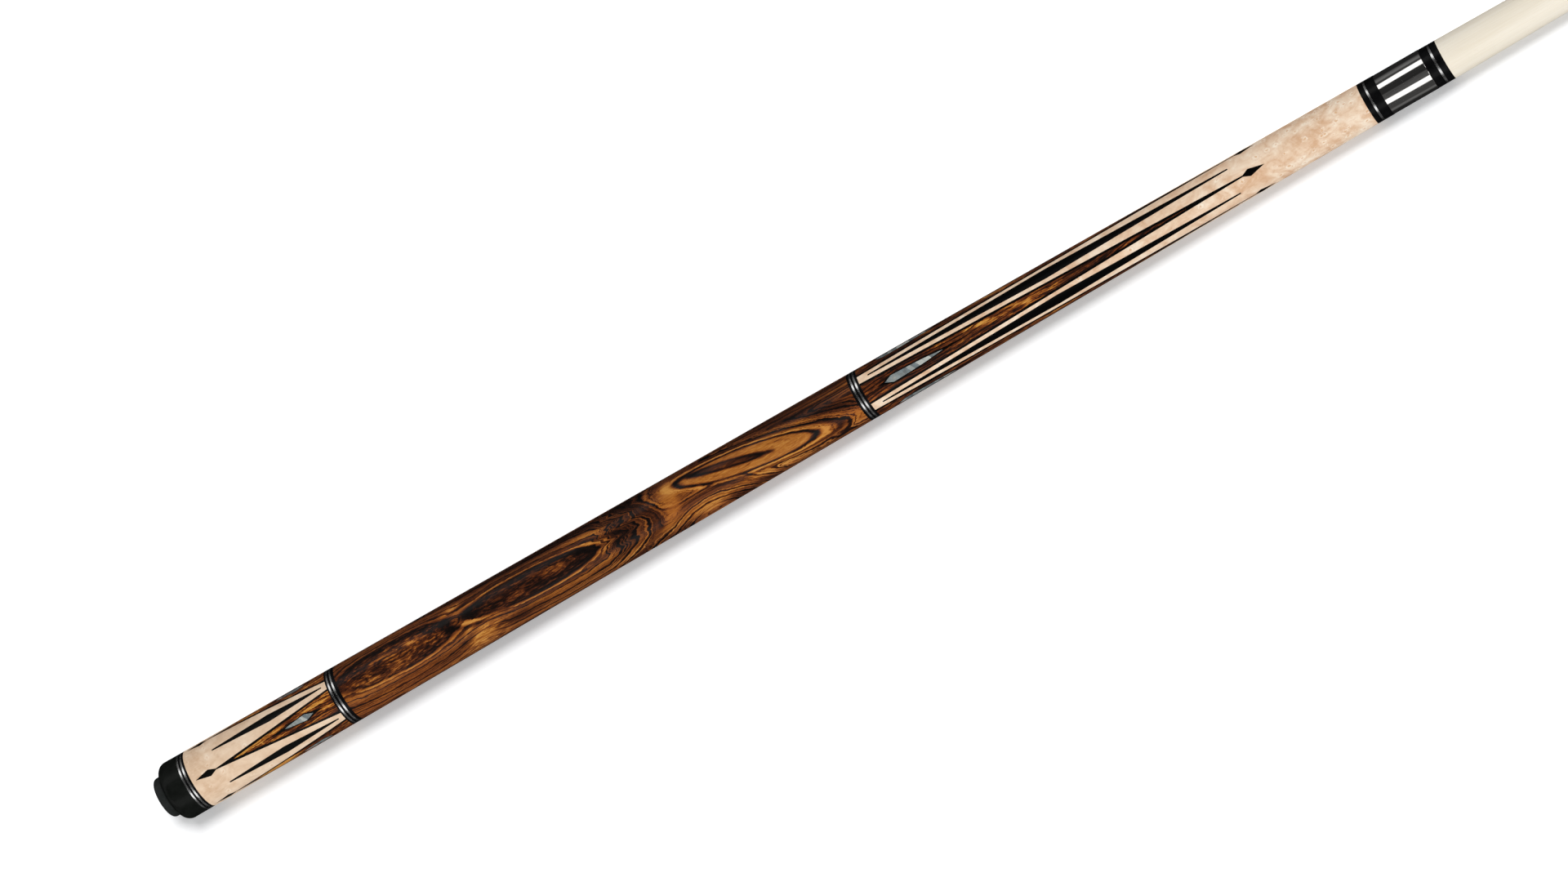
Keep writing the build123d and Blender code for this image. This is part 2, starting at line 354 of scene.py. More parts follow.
SHADER_INPUTS = {
    "color": "Base Color", "rough": "Roughness", "metal": "Metallic",
    "spec": "Specular IOR Level", "coat": "Coat Weight", "coat_rough": "Coat Roughness",
    "normal": "Normal", "coat_normal": "Coat Normal",
    "emission": "Emission Color", "emission_strength": "Emission Strength",
}


def shade(bsdf, **values):
    for key, value in values.items():
        put(bsdf.inputs[SHADER_INPUTS[key]], value)


# ------------------------------------------------------------------ materials
def lacquer(bsdf, pos, coat=0.12, rough=0.5, spec=0.12):
    """Clear gloss over wood: a faint orange-peel in the coat."""
    gloss = remap(noise(pos, scale=0.35, detail=3, rough=0.6), (0.3, 0.7), (0.07, 0.14))
    shade(bsdf, rough=rough, spec=spec, coat=coat, coat_rough=gloss)
    peel = noise(pos, scale=0.55, detail=2, rough=0.5)
    shade(bsdf, coat_normal=bump(peel, depth=0.02, strength=0.5))


# Colours of the striped woods from dark to light: place on the ramp, sRGB
WARM_STOPS = [
    (0.00, (8, 3, 2)), (0.14, (20, 8, 4)), (0.30, (46, 19, 7)), (0.46, (78, 37, 12)),
    (0.62, (115, 61, 20)), (0.80, (163, 97, 33)), (1.00, (200, 140, 64)),
]
RED_STOPS = [
    (0.00, (9, 4, 2)), (0.16, (26, 10, 5)), (0.34, (62, 27, 9)), (0.52, (106, 52, 17)),
    (0.68, (150, 83, 28)), (0.84, (190, 124, 44)), (1.00, (212, 158, 74)),
]
# Wobble of the growth lines: scale along, scale across, detail, roughness, size in mm
WOBBLES = [(0.060, 0.15, 2, 0.5, 2.4), (0.16, 0.50, 3, 0.55, 1.3), (0.55, 1.3, 3, 0.6, 0.60)]


def rosewood(name, stops, lines_per_mm, grain, contrast=0.60):
    """Striped wood. Attribute fig is a field in mm whose level lines are the growth lines, and
    tone is how light the ground is. crisp scales the lines, fleck the short light flecks."""
    mat, bsdf = material(name)
    pos = position()
    fig, tone = attr("fig"), attr("tone")
    wobble = [
        mul(sub(stretched_noise(pos, along, across, detail, rough), 0.5), size)
        for along, across, detail, rough, size in WOBBLES
    ]
    field = add(add(fig, wobble[0]), add(wobble[1], wobble[2]))
    broad = noise_1d(field, scale=lines_per_mm * 0.42, detail=1.0, rough=0.5)
    broad = sub(remap(broad, (0.30, 0.68), smooth=True), 0.55)
    fine = noise_1d(add(field, 41.7), scale=lines_per_mm * 1.25, detail=2.0, rough=0.6)
    fine = sub(remap(fine, (0.34, 0.58), smooth=True), 0.66)
    hair = sub(add(
        mul(stretched_noise(pos, along=0.14, across=2.2, detail=4, rough=0.7), 0.6),
        mul(stretched_noise(pos, along=0.5, across=6.5, detail=3, rough=0.7), 0.4)), 0.5)
    dash = remap(stretched_noise(pos, along=0.42, across=5.0, detail=2, rough=0.6), (0.58, 0.72))
    figure = add(mul(broad, contrast * 0.55), mul(fine, contrast))
    figure = mul(figure, attr("crisp"))
    fleck_place = join(
        add(mul(split(pos)[0], 0.20), mul(fig, 0.16)),
        mul(split(pos)[1], 0.95),
        mul(split(pos)[2], 0.95))
    flecks = noise(fleck_place, scale=1, detail=3, rough=0.62, distortion=0.5)
    flecks = remap(flecks, (0.42, 0.66), (-0.35, 1.0))
    figure = add(figure, mul(flecks, mul(attr("fleck"), 0.42)))
    value = add(add(tone, figure), mul(hair, grain))
    value = calc("SUBTRACT", value, mul(dash, 0.12), clamp=True)
    color = ramp(value, [(place, seen(rgb)) for place, rgb in stops])
    # slow drift of hue between redder and yellower ground
    hue = stretched_noise(pos, along=0.02, across=0.06, detail=2, rough=0.5)
    drift = remap(hue, (0.35, 0.7), (0.0, 0.30))
    color = mix(drift, color, mix(1.0, color, lin((255, 206, 176)), "MULTIPLY"))
    relief = add(mul(dash, -0.6), hair)
    shade(bsdf, color=color, normal=bump(relief, depth=0.03, strength=0.5))
    lacquer(bsdf, pos, coat=0.08)
    return mat


def eye_field(pos, cell):
    """Distance in mm to the heart of the nearest bird's eye, and that eye's own random numbers,
    on the surface unrolled at a radius of 11.5 mm."""
    place = split(pos)
    around = mul(calc("ARCTAN2", mul(place[1], -1.0), place[2]), 11.5)
    # output 1 of the noise is its colour: one random number for each axis
    jitter = noise(pos, scale=0.62, detail=4, rough=0.72, output=1)
    jitter = split(vector_math("SUBTRACT", jitter, (0.5, 0.5, 0.5)))
    unrolled = join(
        mul(add(place[0], mul(jitter[0], 3.4)), 0.72 / cell),
        mul(add(around, mul(jitter[1], 2.8)), 1.0 / cell),
        0.0)
    cells = node("ShaderNodeTexVoronoi", voronoi_dimensions="2D", feature="F1")
    put(cells.inputs["Vector"], unrolled)
    put(cells.inputs["Scale"], 1.0)
    put(cells.inputs["Randomness"], 1.0)
    return mul(cells.outputs["Distance"], cell), split(cells.outputs["Color"])


def birdseye_maple(name, light, mid, dark, cell, cloud, strength):
    """Cloudy mottled ground, faint lengthwise grain, and eyes with a pale rim and a tan heart.
    cell is the eyes' spacing in mm, cloud the ground's contrast, strength that of the eyes.
    Attribute eyes is the share of the cells that have an eye."""
    mat, bsdf = material(name)
    pos = position()
    place = split(pos)
    mottle = stretched_noise(pos, along=0.085, across=0.12, detail=4, rough=0.58, distortion=0.9)
    small = stretched_noise(pos, along=0.26, across=0.40, detail=3, rough=0.6, distortion=0.8)
    slanted = join(add(place[0], mul(place[1], 0.5)), mul(place[1], 0.25), mul(place[2], 0.25))
    flame = noise(slanted, scale=0.22, detail=2, rough=0.5, distortion=0.4)
    grain = stretched_noise(pos, along=0.09, across=2.2, detail=4, rough=0.6)
    value = add(mul(mottle, 0.50), mul(flame, 0.22))
    value = add(value, mul(small, 0.20))
    value = add(value, mul(grain, 0.06))
    distance, chance = eye_field(pos, cell)
    has_eye = calc("LESS_THAN", chance[0], attr("eyes"))
    # distance in eye sizes
    away = calc("DIVIDE", distance, remap(chance[1], (0.0, 1.0), (0.50, 1.12)))
    halo = mul(remap(away, (1.0, 3.4), (1.0, 0.0), smooth=True), has_eye)
    cloudy = add(cloud, mul(attr("eyes"), 0.6))
    value = add(mul(sub(value, 0.51), cloudy), 0.5)
    value = add(value, mul(halo, 0.045))
    color = ramp(value, [(0.36, seen(dark)), (0.50, seen(mid)), (0.64, seen(light))])
    broken = remap(noise(pos, scale=0.75, detail=3, rough=0.7), (0.40, 0.62), (0.05, 1.0))
    rim = mul(mul(
        remap(away, (0.45, 0.85), smooth=True),
        remap(away, (0.95, 1.45), (1.0, 0.0), smooth=True)), broken)
    edge = mul(
        remap(away, (1.15, 1.45), smooth=True),
        remap(away, (1.45, 2.1), (1.0, 0.0), smooth=True))
    heart = mul(remap(away, (0.20, 0.66), (1.0, 0.0), smooth=True), has_eye)
    color = mix(mul(mul(edge, has_eye), 0.14 * strength), color, seen(times(dark, 0.92)))
    color = mix(mul(mul(rim, has_eye), 0.72 * strength), color, seen((254, 242, 224)))
    color = mix(mul(heart, 0.70 * strength), color, seen((218, 168, 120)))
    relief = sub(grain, mul(heart, 1.5))
    shade(bsdf, color=color, normal=bump(relief, depth=0.03, strength=0.4))
    lacquer(bsdf, pos)
    return mat


def black_wood(name, rgb, coat):
    mat, bsdf = material(name)
    pos = position()
    grain = stretched_noise(pos, along=0.08, across=3.0, detail=4, rough=0.6)
    color = ramp(grain, [(0.3, lin(times(rgb, 0.45))), (0.7, lin(times(rgb, 1.5)))])
    shade(bsdf, color=color, normal=bump(grain, depth=0.02, strength=0.5))
    lacquer(bsdf, pos, coat=coat, rough=0.55, spec=0.8 * coat)
    return mat


def pearl_shell(name):
    """Blocks with their own shade across a slanting join, and a silky wave inside each."""
    mat, bsdf = material(name)
    pos = position()
    place = split(pos)
    slant = add(place[0], mul(place[1], 0.55))
    blocks = node("ShaderNodeTexVoronoi", voronoi_dimensions="1D", feature="F1")
    put(blocks.inputs["W"], add(slant, mul(noise(pos, scale=0.8, detail=2, rough=0.5), 0.7)))
    put(blocks.inputs["Scale"], 0.42)
    block = split(blocks.outputs["Color"])[0]
    wave_place = join(mul(slant, 1.1), mul(place[1], 0.35), mul(place[2], 0.35))
    silk = noise(wave_place, scale=1.0, detail=4, rough=0.62, distortion=1.2)
    fine = stretched_noise(pos, along=3.2, across=0.8, detail=3, rough=0.6, distortion=0.6)
    value = add(mul(block, 0.46), add(mul(silk, 0.52), mul(fine, 0.20)))
    color = ramp(value, [
        (0.26, lin((66, 74, 78))), (0.44, lin((104, 111, 112))),
        (0.64, lin((142, 148, 145))), (0.88, lin((196, 199, 192)))])
    tint = stretched_noise(pos, along=0.5, across=0.5, detail=2, rough=0.5, distortion=0.8)
    color = mix(remap(tint, (0.42, 0.72), (0.0, 0.30)), color, lin((150, 169, 175)))
    color = mix(remap(tint, (0.20, 0.40), (0.25, 0.0)), color, lin((190, 178, 160)))
    shade(bsdf, color=color, rough=0.30, metal=0.12, spec=0.5, coat=0.5, coat_rough=0.06,
          normal=bump(silk, depth=0.03, strength=0.35))
    return mat


def silver(name, rgb, rough):
    mat, bsdf = material(name)
    pos = position()
    turning = noise(join(mul(split(pos)[0], 1.0), 0.0, 0.0), scale=9.0, detail=4, rough=0.7)
    worn = noise(pos, scale=0.18, detail=2, rough=0.5)
    shade(bsdf, color=mix(remap(worn, (0.35, 0.7)), lin(rgb), lin(times(rgb, 0.90))), metal=1.0,
          rough=remap(worn, (0.3, 0.7), (rough, rough + 0.05)),
          normal=bump(turning, depth=0.02, strength=0.35))
    return mat


def turned_metal(name, rgb, rough, lines):
    """Turned and polished metal; lines is the strength of the fine rings round the axis."""
    mat, bsdf = material(name)
    pos = position()
    turning = noise(join(split(pos)[0], 0.0, 0.0), scale=7.0, detail=5, rough=0.75)
    worn = stretched_noise(pos, along=0.08, across=0.9, detail=5, rough=0.65)
    shade(bsdf, color=mix(remap(worn, (0.3, 0.75)), lin(rgb), lin(times(rgb, 0.88))), metal=1.0,
          rough=remap(worn, (0.3, 0.7), (rough, rough + 0.05)),
          normal=bump(turning, depth=0.01, strength=lines))
    return mat


def plastic(name, rgb, rough, spec, mottle, depth, coat=0.0, scale=1.2):
    """Slightly mottled solid colour with a bump of the given depth in mm."""
    mat, bsdf = material(name)
    pos = position()
    slow = noise(pos, scale=0.25 * scale, detail=3, rough=0.6)
    fine = noise(pos, scale=3.0 * scale, detail=3, rough=0.6)
    low, high = times(rgb, 1 - mottle), times(rgb, 1 + mottle, lift=3)
    shade(bsdf, color=mix(remap(slow, (0.3, 0.7)), lin(low), lin(high)),
          rough=remap(slow, (0.3, 0.7), (rough * 0.85, min(1.0, rough * 1.2))),
          spec=spec, coat=coat, coat_rough=0.06, normal=bump(fine, depth=depth, strength=0.5))
    return mat


def rubber(name, rgb):
    mat, bsdf = material(name)
    pos = position()
    slow = noise(pos, scale=0.35, detail=4, rough=0.6)
    fine = noise(pos, scale=4.5, detail=4, rough=0.7)
    shade(bsdf, color=mix(remap(slow, (0.3, 0.7)), lin(times(rgb, 0.8)), lin(times(rgb, 1.25))),
          rough=remap(fine, (0.3, 0.7), (0.55, 0.75)), spec=0.28,
          normal=bump(fine, depth=0.05, strength=0.6))
    return mat


def plain_wood(name, light, dark, rough, coat):
    mat, bsdf = material(name)
    pos = position()
    grain = stretched_noise(pos, along=0.018, across=0.9, detail=4, rough=0.6)
    fine = stretched_noise(pos, along=0.09, across=3.6, detail=4, rough=0.65)
    slow = stretched_noise(pos, along=0.010, across=0.12, detail=2, rough=0.5)
    ray = remap(stretched_noise(pos, along=0.45, across=3.0, detail=2, rough=0.6), (0.62, 0.74))
    value = add(mul(grain, 0.45), add(mul(fine, 0.30), mul(slow, 0.30)))
    color = ramp(value, [(0.38, seen(dark)), (0.62, seen(light))])
    color = mix(mul(ray, 0.12), color, seen(times(dark, 0.92)))
    shade(bsdf, color=color, rough=rough, spec=0.3, coat=coat, coat_rough=0.16,
          normal=bump(fine, depth=0.03, strength=0.35))
    return mat


def tip_leather(name):
    """Brown leather side, with blue chalk on the dome."""
    mat, bsdf = material(name)
    pos = position()
    coarse = noise(pos, scale=1.4, detail=5, rough=0.7)
    fine = noise(pos, scale=5.0, detail=4, rough=0.7)
    dome = remap(split(pos)[0], (TIP_SIDE - 0.7, TIP_SIDE + 0.3))
    chalk = mul(dome, remap(coarse, (0.30, 0.55), (0.35, 1.0)))
    side = mix(remap(coarse, (0.3, 0.7)), lin((58, 40, 28)), lin((92, 66, 44)))
    blue = mix(remap(fine, (0.3, 0.7)), lin((58, 98, 140)), lin((108, 150, 184)))
    shade(bsdf, color=mix(chalk, side, blue), rough=remap(dome, (0, 1), (0.5, 0.9)), spec=0.2,
          normal=bump(add(coarse, mul(fine, 0.6)), depth=0.18, strength=0.8))
    return mat


MAT = {
    "handle": rosewood("handle_rosewood", WARM_STOPS, lines_per_mm=0.80, grain=0.85),
    "points": rosewood("point_rosewood", RED_STOPS, lines_per_mm=1.15, grain=0.95),
    "sleeve_maple": birdseye_maple(
        "sleeve_maple", light=(246, 224, 200), mid=(232, 204, 175), dark=(214, 180, 148),
        cell=4.0, cloud=0.75, strength=0.6),
    "forearm_maple": birdseye_maple(
        "forearm_maple", light=(252, 234, 212), mid=(238, 209, 180), dark=(219, 178, 143),
        cell=4.2, cloud=1.0, strength=1.0),
    "black_wood": black_wood("black_wood", rgb=(10, 10, 9), coat=0.06),
    "deep_black_wood": black_wood("deep_black_wood", rgb=(4, 4, 4), coat=0.03),
    "pearl": pearl_shell("pearl_shell"),
    "silver": silver("ring_silver_metal", rgb=(206, 206, 205), rough=0.24),
    "steel": turned_metal("collar_steel", rgb=(224, 222, 219), rough=0.045, lines=0.12),
    "pin_steel": turned_metal("pin_steel", rgb=(188, 187, 184), rough=0.16, lines=0.1),
    "bolt_steel": turned_metal("bolt_steel", rgb=(120, 120, 122), rough=0.30, lines=0.2),
    "brass": turned_metal("insert_brass", rgb=(206, 168, 92), rough=0.22, lines=0.2),
    "ring_black": plastic(
        "ring_black_phenolic", rgb=(6, 6, 7), rough=0.34, spec=0.08, coat=0.03,
        mottle=0.2, depth=0.004),
    "cap": plastic(
        "cap_black_phenolic", rgb=(13, 15, 13), rough=0.42, spec=0.07, coat=0.03,
        mottle=0.12, depth=0.006),
    "rubber": rubber("bumper_rubber", rgb=(25, 28, 27)),
    "core": plain_wood(
        "core_maple", light=(214, 182, 138), dark=(184, 148, 104), rough=0.6, coat=0.0),
    "shaft": plain_wood(
        "shaft_maple", light=(248, 240, 224), dark=(240, 229, 208), rough=0.45, coat=0.15),
    "ferrule": plastic(
        "ferrule_white", rgb=(234, 229, 214), rough=0.34, spec=0.3, coat=0.2,
        mottle=0.010, depth=0.002),
    "pad": plastic(
        "pad_fibre", rgb=(96, 26, 22), rough=0.6, spec=0.2, mottle=0.2, depth=0.02, scale=2.0),
    "leather": tip_leather("tip_leather"),
}


# ------------------------------------------------------------------ figure of the wood
HANDLE_UNROLL = 14.2  # radius at which the handle's figure is unrolled
POINT_UNROLL = 13.0  # the same for the inlaid points


def wrap(angle):
    return (angle + 180.0) % 360.0 - 180.0


def tilted(dx, dy, tilt):
    """Offsets along and across an axis that is tilted by some degrees."""
    t = math.radians(tilt)
    return dx * math.cos(t) + dy * math.sin(t), -dx * math.sin(t) + dy * math.cos(t)


def from_centre(x, angle, centre_x, centre_angle, tilt):
    dy = np.radians(wrap(angle - centre_angle)) * HANDLE_UNROLL
    return tilted(x - centre_x, dy, tilt)


def oval(x, angle, centre_x, centre_angle, half_length, half_width, tilt=0.0):
    """Rough distance in mm outside an oval, negative inside."""
    along, across = from_centre(x, angle, centre_x, centre_angle, tilt)
    return (np.sqrt((along / half_length) ** 2 + (across / half_width) ** 2) - 1.0) * half_width


def spot(x, angle, centre_x, centre_angle, length, width, tilt=0.0):
    """Soft spot: 1 at its centre, fading out over length and width."""
    along, across = from_centre(x, angle, centre_x, centre_angle, tilt)
    return np.exp(-((along / length) ** 2) - (across / width) ** 2)


def bell(offset, width, power=2):
    return np.exp(-((offset / width) ** power))


def smooth_min(fields, blend):
    return -blend * np.log(sum(np.exp(-field / blend) for field in fields))


def inside(distance, softness=0.8):
    return 1.0 / (1.0 + np.exp(np.clip(distance / softness, -40, 40)))


def triangle_wave(v):
    """Period 1, from -1 to 1."""
    return 4.0 * np.abs(v - np.floor(v + 0.5)) - 1.0


# Ovals low on the handle: x, angle, half length, half width, tilt, delay in fig, added tone
LOW_OVALS = [
    (178.0, 152, 48.0, 8.0, -2, 0.0, -0.24), (285.0, -158, 44.0, 8.5, 3, 0.0, -0.24),
    (372.0, 140, 34.0, 6.5, -4, 3.0, 0.30), (132.0, -118, 22.0, 5.0, 0, 0.0, -0.2),
    (403.0, -110, 20.0, 4.5, 0, 0.0, 0.20),
]
# Light and dark spots of the handle: added tone, x, angle, length, width, tilt
TONE_SPOTS = [
    # light streaks and patches
    (0.40, 159, -22, 6.0, 1.9, 12), (0.26, 146, -27, 5.0, 1.3, 10), (0.16, 150, -10, 12.0, 2.0, 10),
    (0.34, 147, 6, 5.5, 1.3, 6), (0.26, 123, -5, 9.0, 1.8, 10), (0.20, 131, 6, 8.0, 1.0, 6),
    (0.42, 183, -42, 5.0, 2.4), (0.22, 182, -16, 2.2, 1.7), (0.16, 176, -6, 5.0, 2.0, -30),
    (0.36, 243, -7, 7.5, 1.6, 6), (0.20, 215, 0, 6.0, 1.2, 8), (0.18, 232, -16, 7.0, 1.0, 6),
    (0.20, 203, -32, 10.0, 1.2, -6), (0.34, 192, 35, 8.0, 3.6, -20), (0.24, 326, 46, 9.0, 3.2),
    (0.22, 140, 18, 24.0, 1.7, 3), (0.26, 189, 8, 7.0, 1.3, -28), (0.26, 203, 4, 8.0, 1.3, 10),
    (0.16, 132, 48, 26.0, 2.4), (0.14, 160, 66, 44.0, 2.4), (0.18, 240, 58, 44.0, 2.6),
    (0.22, 362, 42, 30.0, 2.4, 3), (0.16, 282, 50, 22.0, 2.0, -4), (0.12, 150, -62, 40.0, 3.0),
    (0.20, 262, -40, 12.0, 1.4, 8), (0.18, 277, -18, 7.0, 1.0, 14),
    # dark patches
    (-0.24, 276, -4, 4.5, 3.4, -20), (-0.12, 286, -26, 5.0, 5.0, 20),
    (-0.26, 374, -46, 22.0, 3.4, 8), (-0.22, 402, -14, 12.0, 4.5, 14),
    (-0.20, 340, 46, 9.0, 2.6, 10), (-0.20, 330, 66, 40.0, 3.0), (-0.16, 250, -66, 60.0, 3.0),
    (-0.28, 188, -28, 5.0, 2.2), (-0.22, 214, 40, 10.0, 3.0), (-0.18, 150, 30, 30.0, 1.6),
    (-0.16, 184, 26, 8.0, 1.4, -20),
    # in and round the third oval
    (-0.12, 354, -10, 8.0, 1.2, 14), (0.14, 337, -23, 7.0, 0.5, 13),
    (-0.16, 330, -27, 8.0, 1.5, 13), (-0.45, 365.5, 3, 2.6, 0.7, 16),
    (-0.22, 372, -8, 2.4, 0.45, 8), (-0.25, 353, 5, 1.4, 0.5),
]


def handle_figure(x, angle):
    """fig, tone, crisp and fleck of the handle."""
    # torn edges of the growth lines on the far side (+X) of the second oval
    window = bell(x - 277, 13.0) * bell(wrap(angle + 12), 38.0)
    teeth = 5.0 * triangle_wave(angle / 31.0 + 0.1) + 2.0 * triangle_wave(angle / 11.3)
    torn_x = x + window * teeth
    first = oval(x, angle, 146.5, -17, 35.0, 8.1, 1.5)
    second = oval(torn_x, angle, 226.5, -9, 36.5, 6.4, 3.0)
    third = oval(x, angle, 353.0, -8, 38.5, 6.4, 10.5)
    far_arch = oval(x, angle, 325.0, 62, 17.0, 7.6) + 0.4
    near_arch = oval(x, angle, 192.0, 48, 13.0, 5.4, -14)
    low = [oval(x, angle, *row[:5]) for row in LOW_OVALS]
    # the third oval starts later, so that the second one's lines reach the light gap between them
    delayed = [distance + row[5] for distance, row in zip(low, LOW_OVALS)]
    fig = smooth_min([first, second, third + 7.4, far_arch, *delayed], 0.9)
    fig += 3.2 * spot(x, angle, 190.0, 50, 15.0, 6.0, -16)
    # close, nearly upright lines between the second oval and the light gap
    turn = np.clip((np.abs(wrap(angle + 5)) - 35) / 110.0, 0.0, 1.0)
    fig += 0.30 * np.clip(torn_x - 266.0, 0.0, 38.0) * (0.5 + 0.5 * np.cos(math.pi * turn))
    fig -= 2.4 * spot(x, angle, 182.5, -16, 3.6, 2.4)
    fig += 2.0 * spot(x, angle, 127.0, -8, 11.0, 2.2, 4)

    in_first, in_second, in_third = inside(first, 0.7), inside(second, 0.6), inside(third, 0.35)
    in_low = sum(inside(distance) for distance in low)
    tone = 0.48 - 0.17 * in_first - 0.26 * in_second + 0.34 * in_third
    tone -= 0.15 * bell(wrap(angle + 62), 20.0) - 0.07 * bell(wrap(angle - 40), 22.0)
    tone += 0.20 * inside(far_arch + 1.0, 1.2) + 0.10 * inside(near_arch, 1.6)
    for distance, row in zip(low, LOW_OVALS):
        tone += row[6] * inside(distance)
    # outlines of the ovals: a dark rim, then a light band, then a second dark line
    tone -= 0.22 * bell(first, 0.8) + 0.30 * bell(second, 0.7) + 0.55 * bell(third, 0.38)
    tone += 0.10 * bell(first - 1.6, 0.8) * (angle > -20)
    tone += 0.26 * bell(second - 1.25, 0.55) + 0.24 * bell(third - 1.1, 0.6)
    tone -= 0.34 * bell(third - 2.2, 0.45) / (1.0 + np.exp((329.0 - x) / 3.0))
    tone -= 0.26 * bell(second - 2.5, 0.55)
    for amount, *place in TONE_SPOTS:
        tone += amount * spot(x, angle, *place)
    gap = spot(x, angle, 309.5, -30, 4.6, 8.5) + spot(x, angle, 308.5, 2, 4.6, 5.0, -12)
    gap = np.clip(gap + 0.8 * spot(x, angle, 303, 30, 7.0, 2.6, -34), 0.0, 1.0)
    tone += 0.29 * gap
    tone -= 0.18 * bell(x - 286, 16.0, power=4) * bell(wrap(angle), 70.0)
    tone -= 0.05 * bell(wrap(angle - 58), 30.0) * (x < 300)
    # dark heart of the third oval
    heart = oval(x, angle, 342.5, -19, 20.5, 2.0, 14.0)
    tone -= 0.40 * inside(heart, 0.22) + 0.46 * bell(heart + 0.10, 0.40)

    crisp = 0.86 - 0.62 * in_first - 0.62 * in_second - 0.78 * in_third - 0.5 * in_low
    crisp -= 0.62 * inside(far_arch + 2.2, 1.0) + 0.50 * inside(near_arch, 1.2) + 0.75 * gap
    crisp += 0.50 * bell(x - 287, 18.0, power=4) + 0.18 * bell(x - 345, 40.0)
    crisp -= 0.28 * bell(wrap(angle - 52), 22.0) * bell(x - 165, 75.0)
    fleck = 1.0 * in_first + 0.75 * in_second + 0.16 * in_third + 0.7 * in_low
    fleck += 0.6 * inside(near_arch - 1.5, 1.0) + 0.35 * inside(far_arch, 1.0)
    return fig, np.clip(tone, -0.1, 1.05), np.clip(crisp, 0.12, 1.2), np.clip(fleck, 0.0, 1.0)


# Light streaks of the point on top (sector 0): x, angle, length, width, added tone, tilt
TOP_STREAKS = [
    (492, -5, 10, 1.3, 0.43, 10), (486, -10, 7, 0.7, 0.30, 6), (514.5, 1, 8, 1.2, 0.48, 17),
    (529, 4, 9, 0.8, 0.30, 7), (466, -13, 9, 0.6, 0.32, 3), (480, 10, 8, 0.7, 0.28, 4),
    (547, 4, 14, 0.6, 0.18, 3), (504, 6, 5, 0.6, 0.22, 12), (580, 2, 16, 0.6, 0.16, 2),
    (438, 14, 12, 0.9, 0.07, 2), (442, -15, 10, 0.7, 0.14, 2), (57, 0, 12, 0.8, 0.34, 4),
    (78, 9, 9, 0.7, 0.24, 4), (72, -6, 10, 0.7, 0.32, 4), (97, -11, 9, 1.0, 0.42, -5),
    (92, 16, 8, 0.7, 0.22, -3), (103, 4, 5, 0.7, 0.32, -3),
]


def point_figure(x, angle, sector):
    """fig and tone of an inlaid point. angle is measured from the point's own centre line."""
    phase = 17.3 * sector
    y = np.radians(angle) * POINT_UNROLL
    fig = y + 2.2 * np.sin(x / 31.0 + phase) + 1.1 * np.sin(x / 13.0 + 1.7 * phase)
    fig += 0.05 * x + 9.1 * sector
    # the sleeve's points are lighter than the forearm's
    tone = np.where(x < 200.0, 0.41, 0.29 - 0.05 * bell(x - 442, 24.0))
    tone = tone + 0.06 * np.sin(x / 19.0 + phase) + 0.05 * np.sin(x / 7.3 + 2.1 * phase)
    if sector == 0:
        for centre_x, centre_angle, length, width, amount, tilt in TOP_STREAKS:
            dy = y - math.radians(centre_angle) * POINT_UNROLL
            along, across = tilted(x - centre_x, dy, tilt)
            tone += amount * np.exp(-((along / length) ** 2) - (across / width) ** 2)
    else:
        rng = np.random.RandomState(40 + sector)
        for _ in range(16):
            on_sleeve = rng.rand() < 0.35
            centre_x = rng.uniform(40, 110) if on_sleeve else rng.uniform(422, 600)
            dy = y - rng.uniform(-4, 4)
            amount = rng.uniform(0.1, 0.4)
            length = rng.uniform(6, 14)
            width = rng.uniform(0.6, 1.3)
            tone += amount * np.exp(-(((x - centre_x) / length) ** 2) - (dy / width) ** 2)
    return fig, np.clip(tone, 0.0, 1.0)


# ------------------------------------------------------------------ inlaid sections
N_POINTS = 5
PITCH = 360.0 / N_POINTS
HALF_PITCH = PITCH / 2
INLAY_DEPTH = 1.2
OUTLINE_STEP = 2.2  # longest piece of an outline along X
GRID_STEP = 2.4  # spacing of the stations between the outlines
TOP, FLOOR, BORE = 0, 1, 2  # layers of vertices: on the taper, under the inlays, on the bore

# Half outlines of the inlays: station, half width. Needles lie midway between the points.
FOREARM_TIP = (637.9, 0.39)
FOREARM = {
    "point": [(FOREARM_START, 5.77), FOREARM_TIP],
    "wood": [(FOREARM_START, 4.72), (606.0, 0.0)],
    "diamond": [FOREARM_TIP, (641.5, 1.96), (650.1, 0.0)],
    "needle": [(427.2, 0.40), (529.0, 2.72), (632.8, 0.40)],
    "pearl": [
        (433.2, 0.0), (437.5, 1.78), (447.0, 1.50), (456.0, 1.05), (462.0, 0.50), (466.7, 0.0)],
    "border": [
        (428.5, 0.0), (432.3, 0.55), (437.3, 2.30), (447.2, 2.02), (456.3, 1.55), (463.0, 0.98),
        (470.0, 0.58), (485.0, 0.0)],
}
SLEEVE_TIP = (36.5, 0.30)
SLEEVE = {
    "point": [SLEEVE_TIP, (SLEEVE_END, 6.97)],
    "wood": [(47.0, 0.0), (SLEEVE_END, 5.97)],
    "diamond": [(24.2, 0.0), (32.6, 1.86), SLEEVE_TIP],
    "needle": [(38.6, 0.40), (72.9, 2.15), (104.7, 0.35)],
    "pearl": [(78.4, 0.0), (80.0, 0.45), (84.5, 0.95), (90.8, 1.66), (95.5, 0.0)],
    "border": [
        (67.0, 0.0), (75.0, 0.62), (80.0, 0.95), (84.5, 1.42), (90.9, 2.20), (96.6, 0.72),
        (102.0, 0.0)],
}


def half_width(outline, x):
    xs, widths = zip(*outline)
    return np.where((x >= xs[0]) & (x <= xs[-1]), np.interp(x, xs, widths), -1.0)


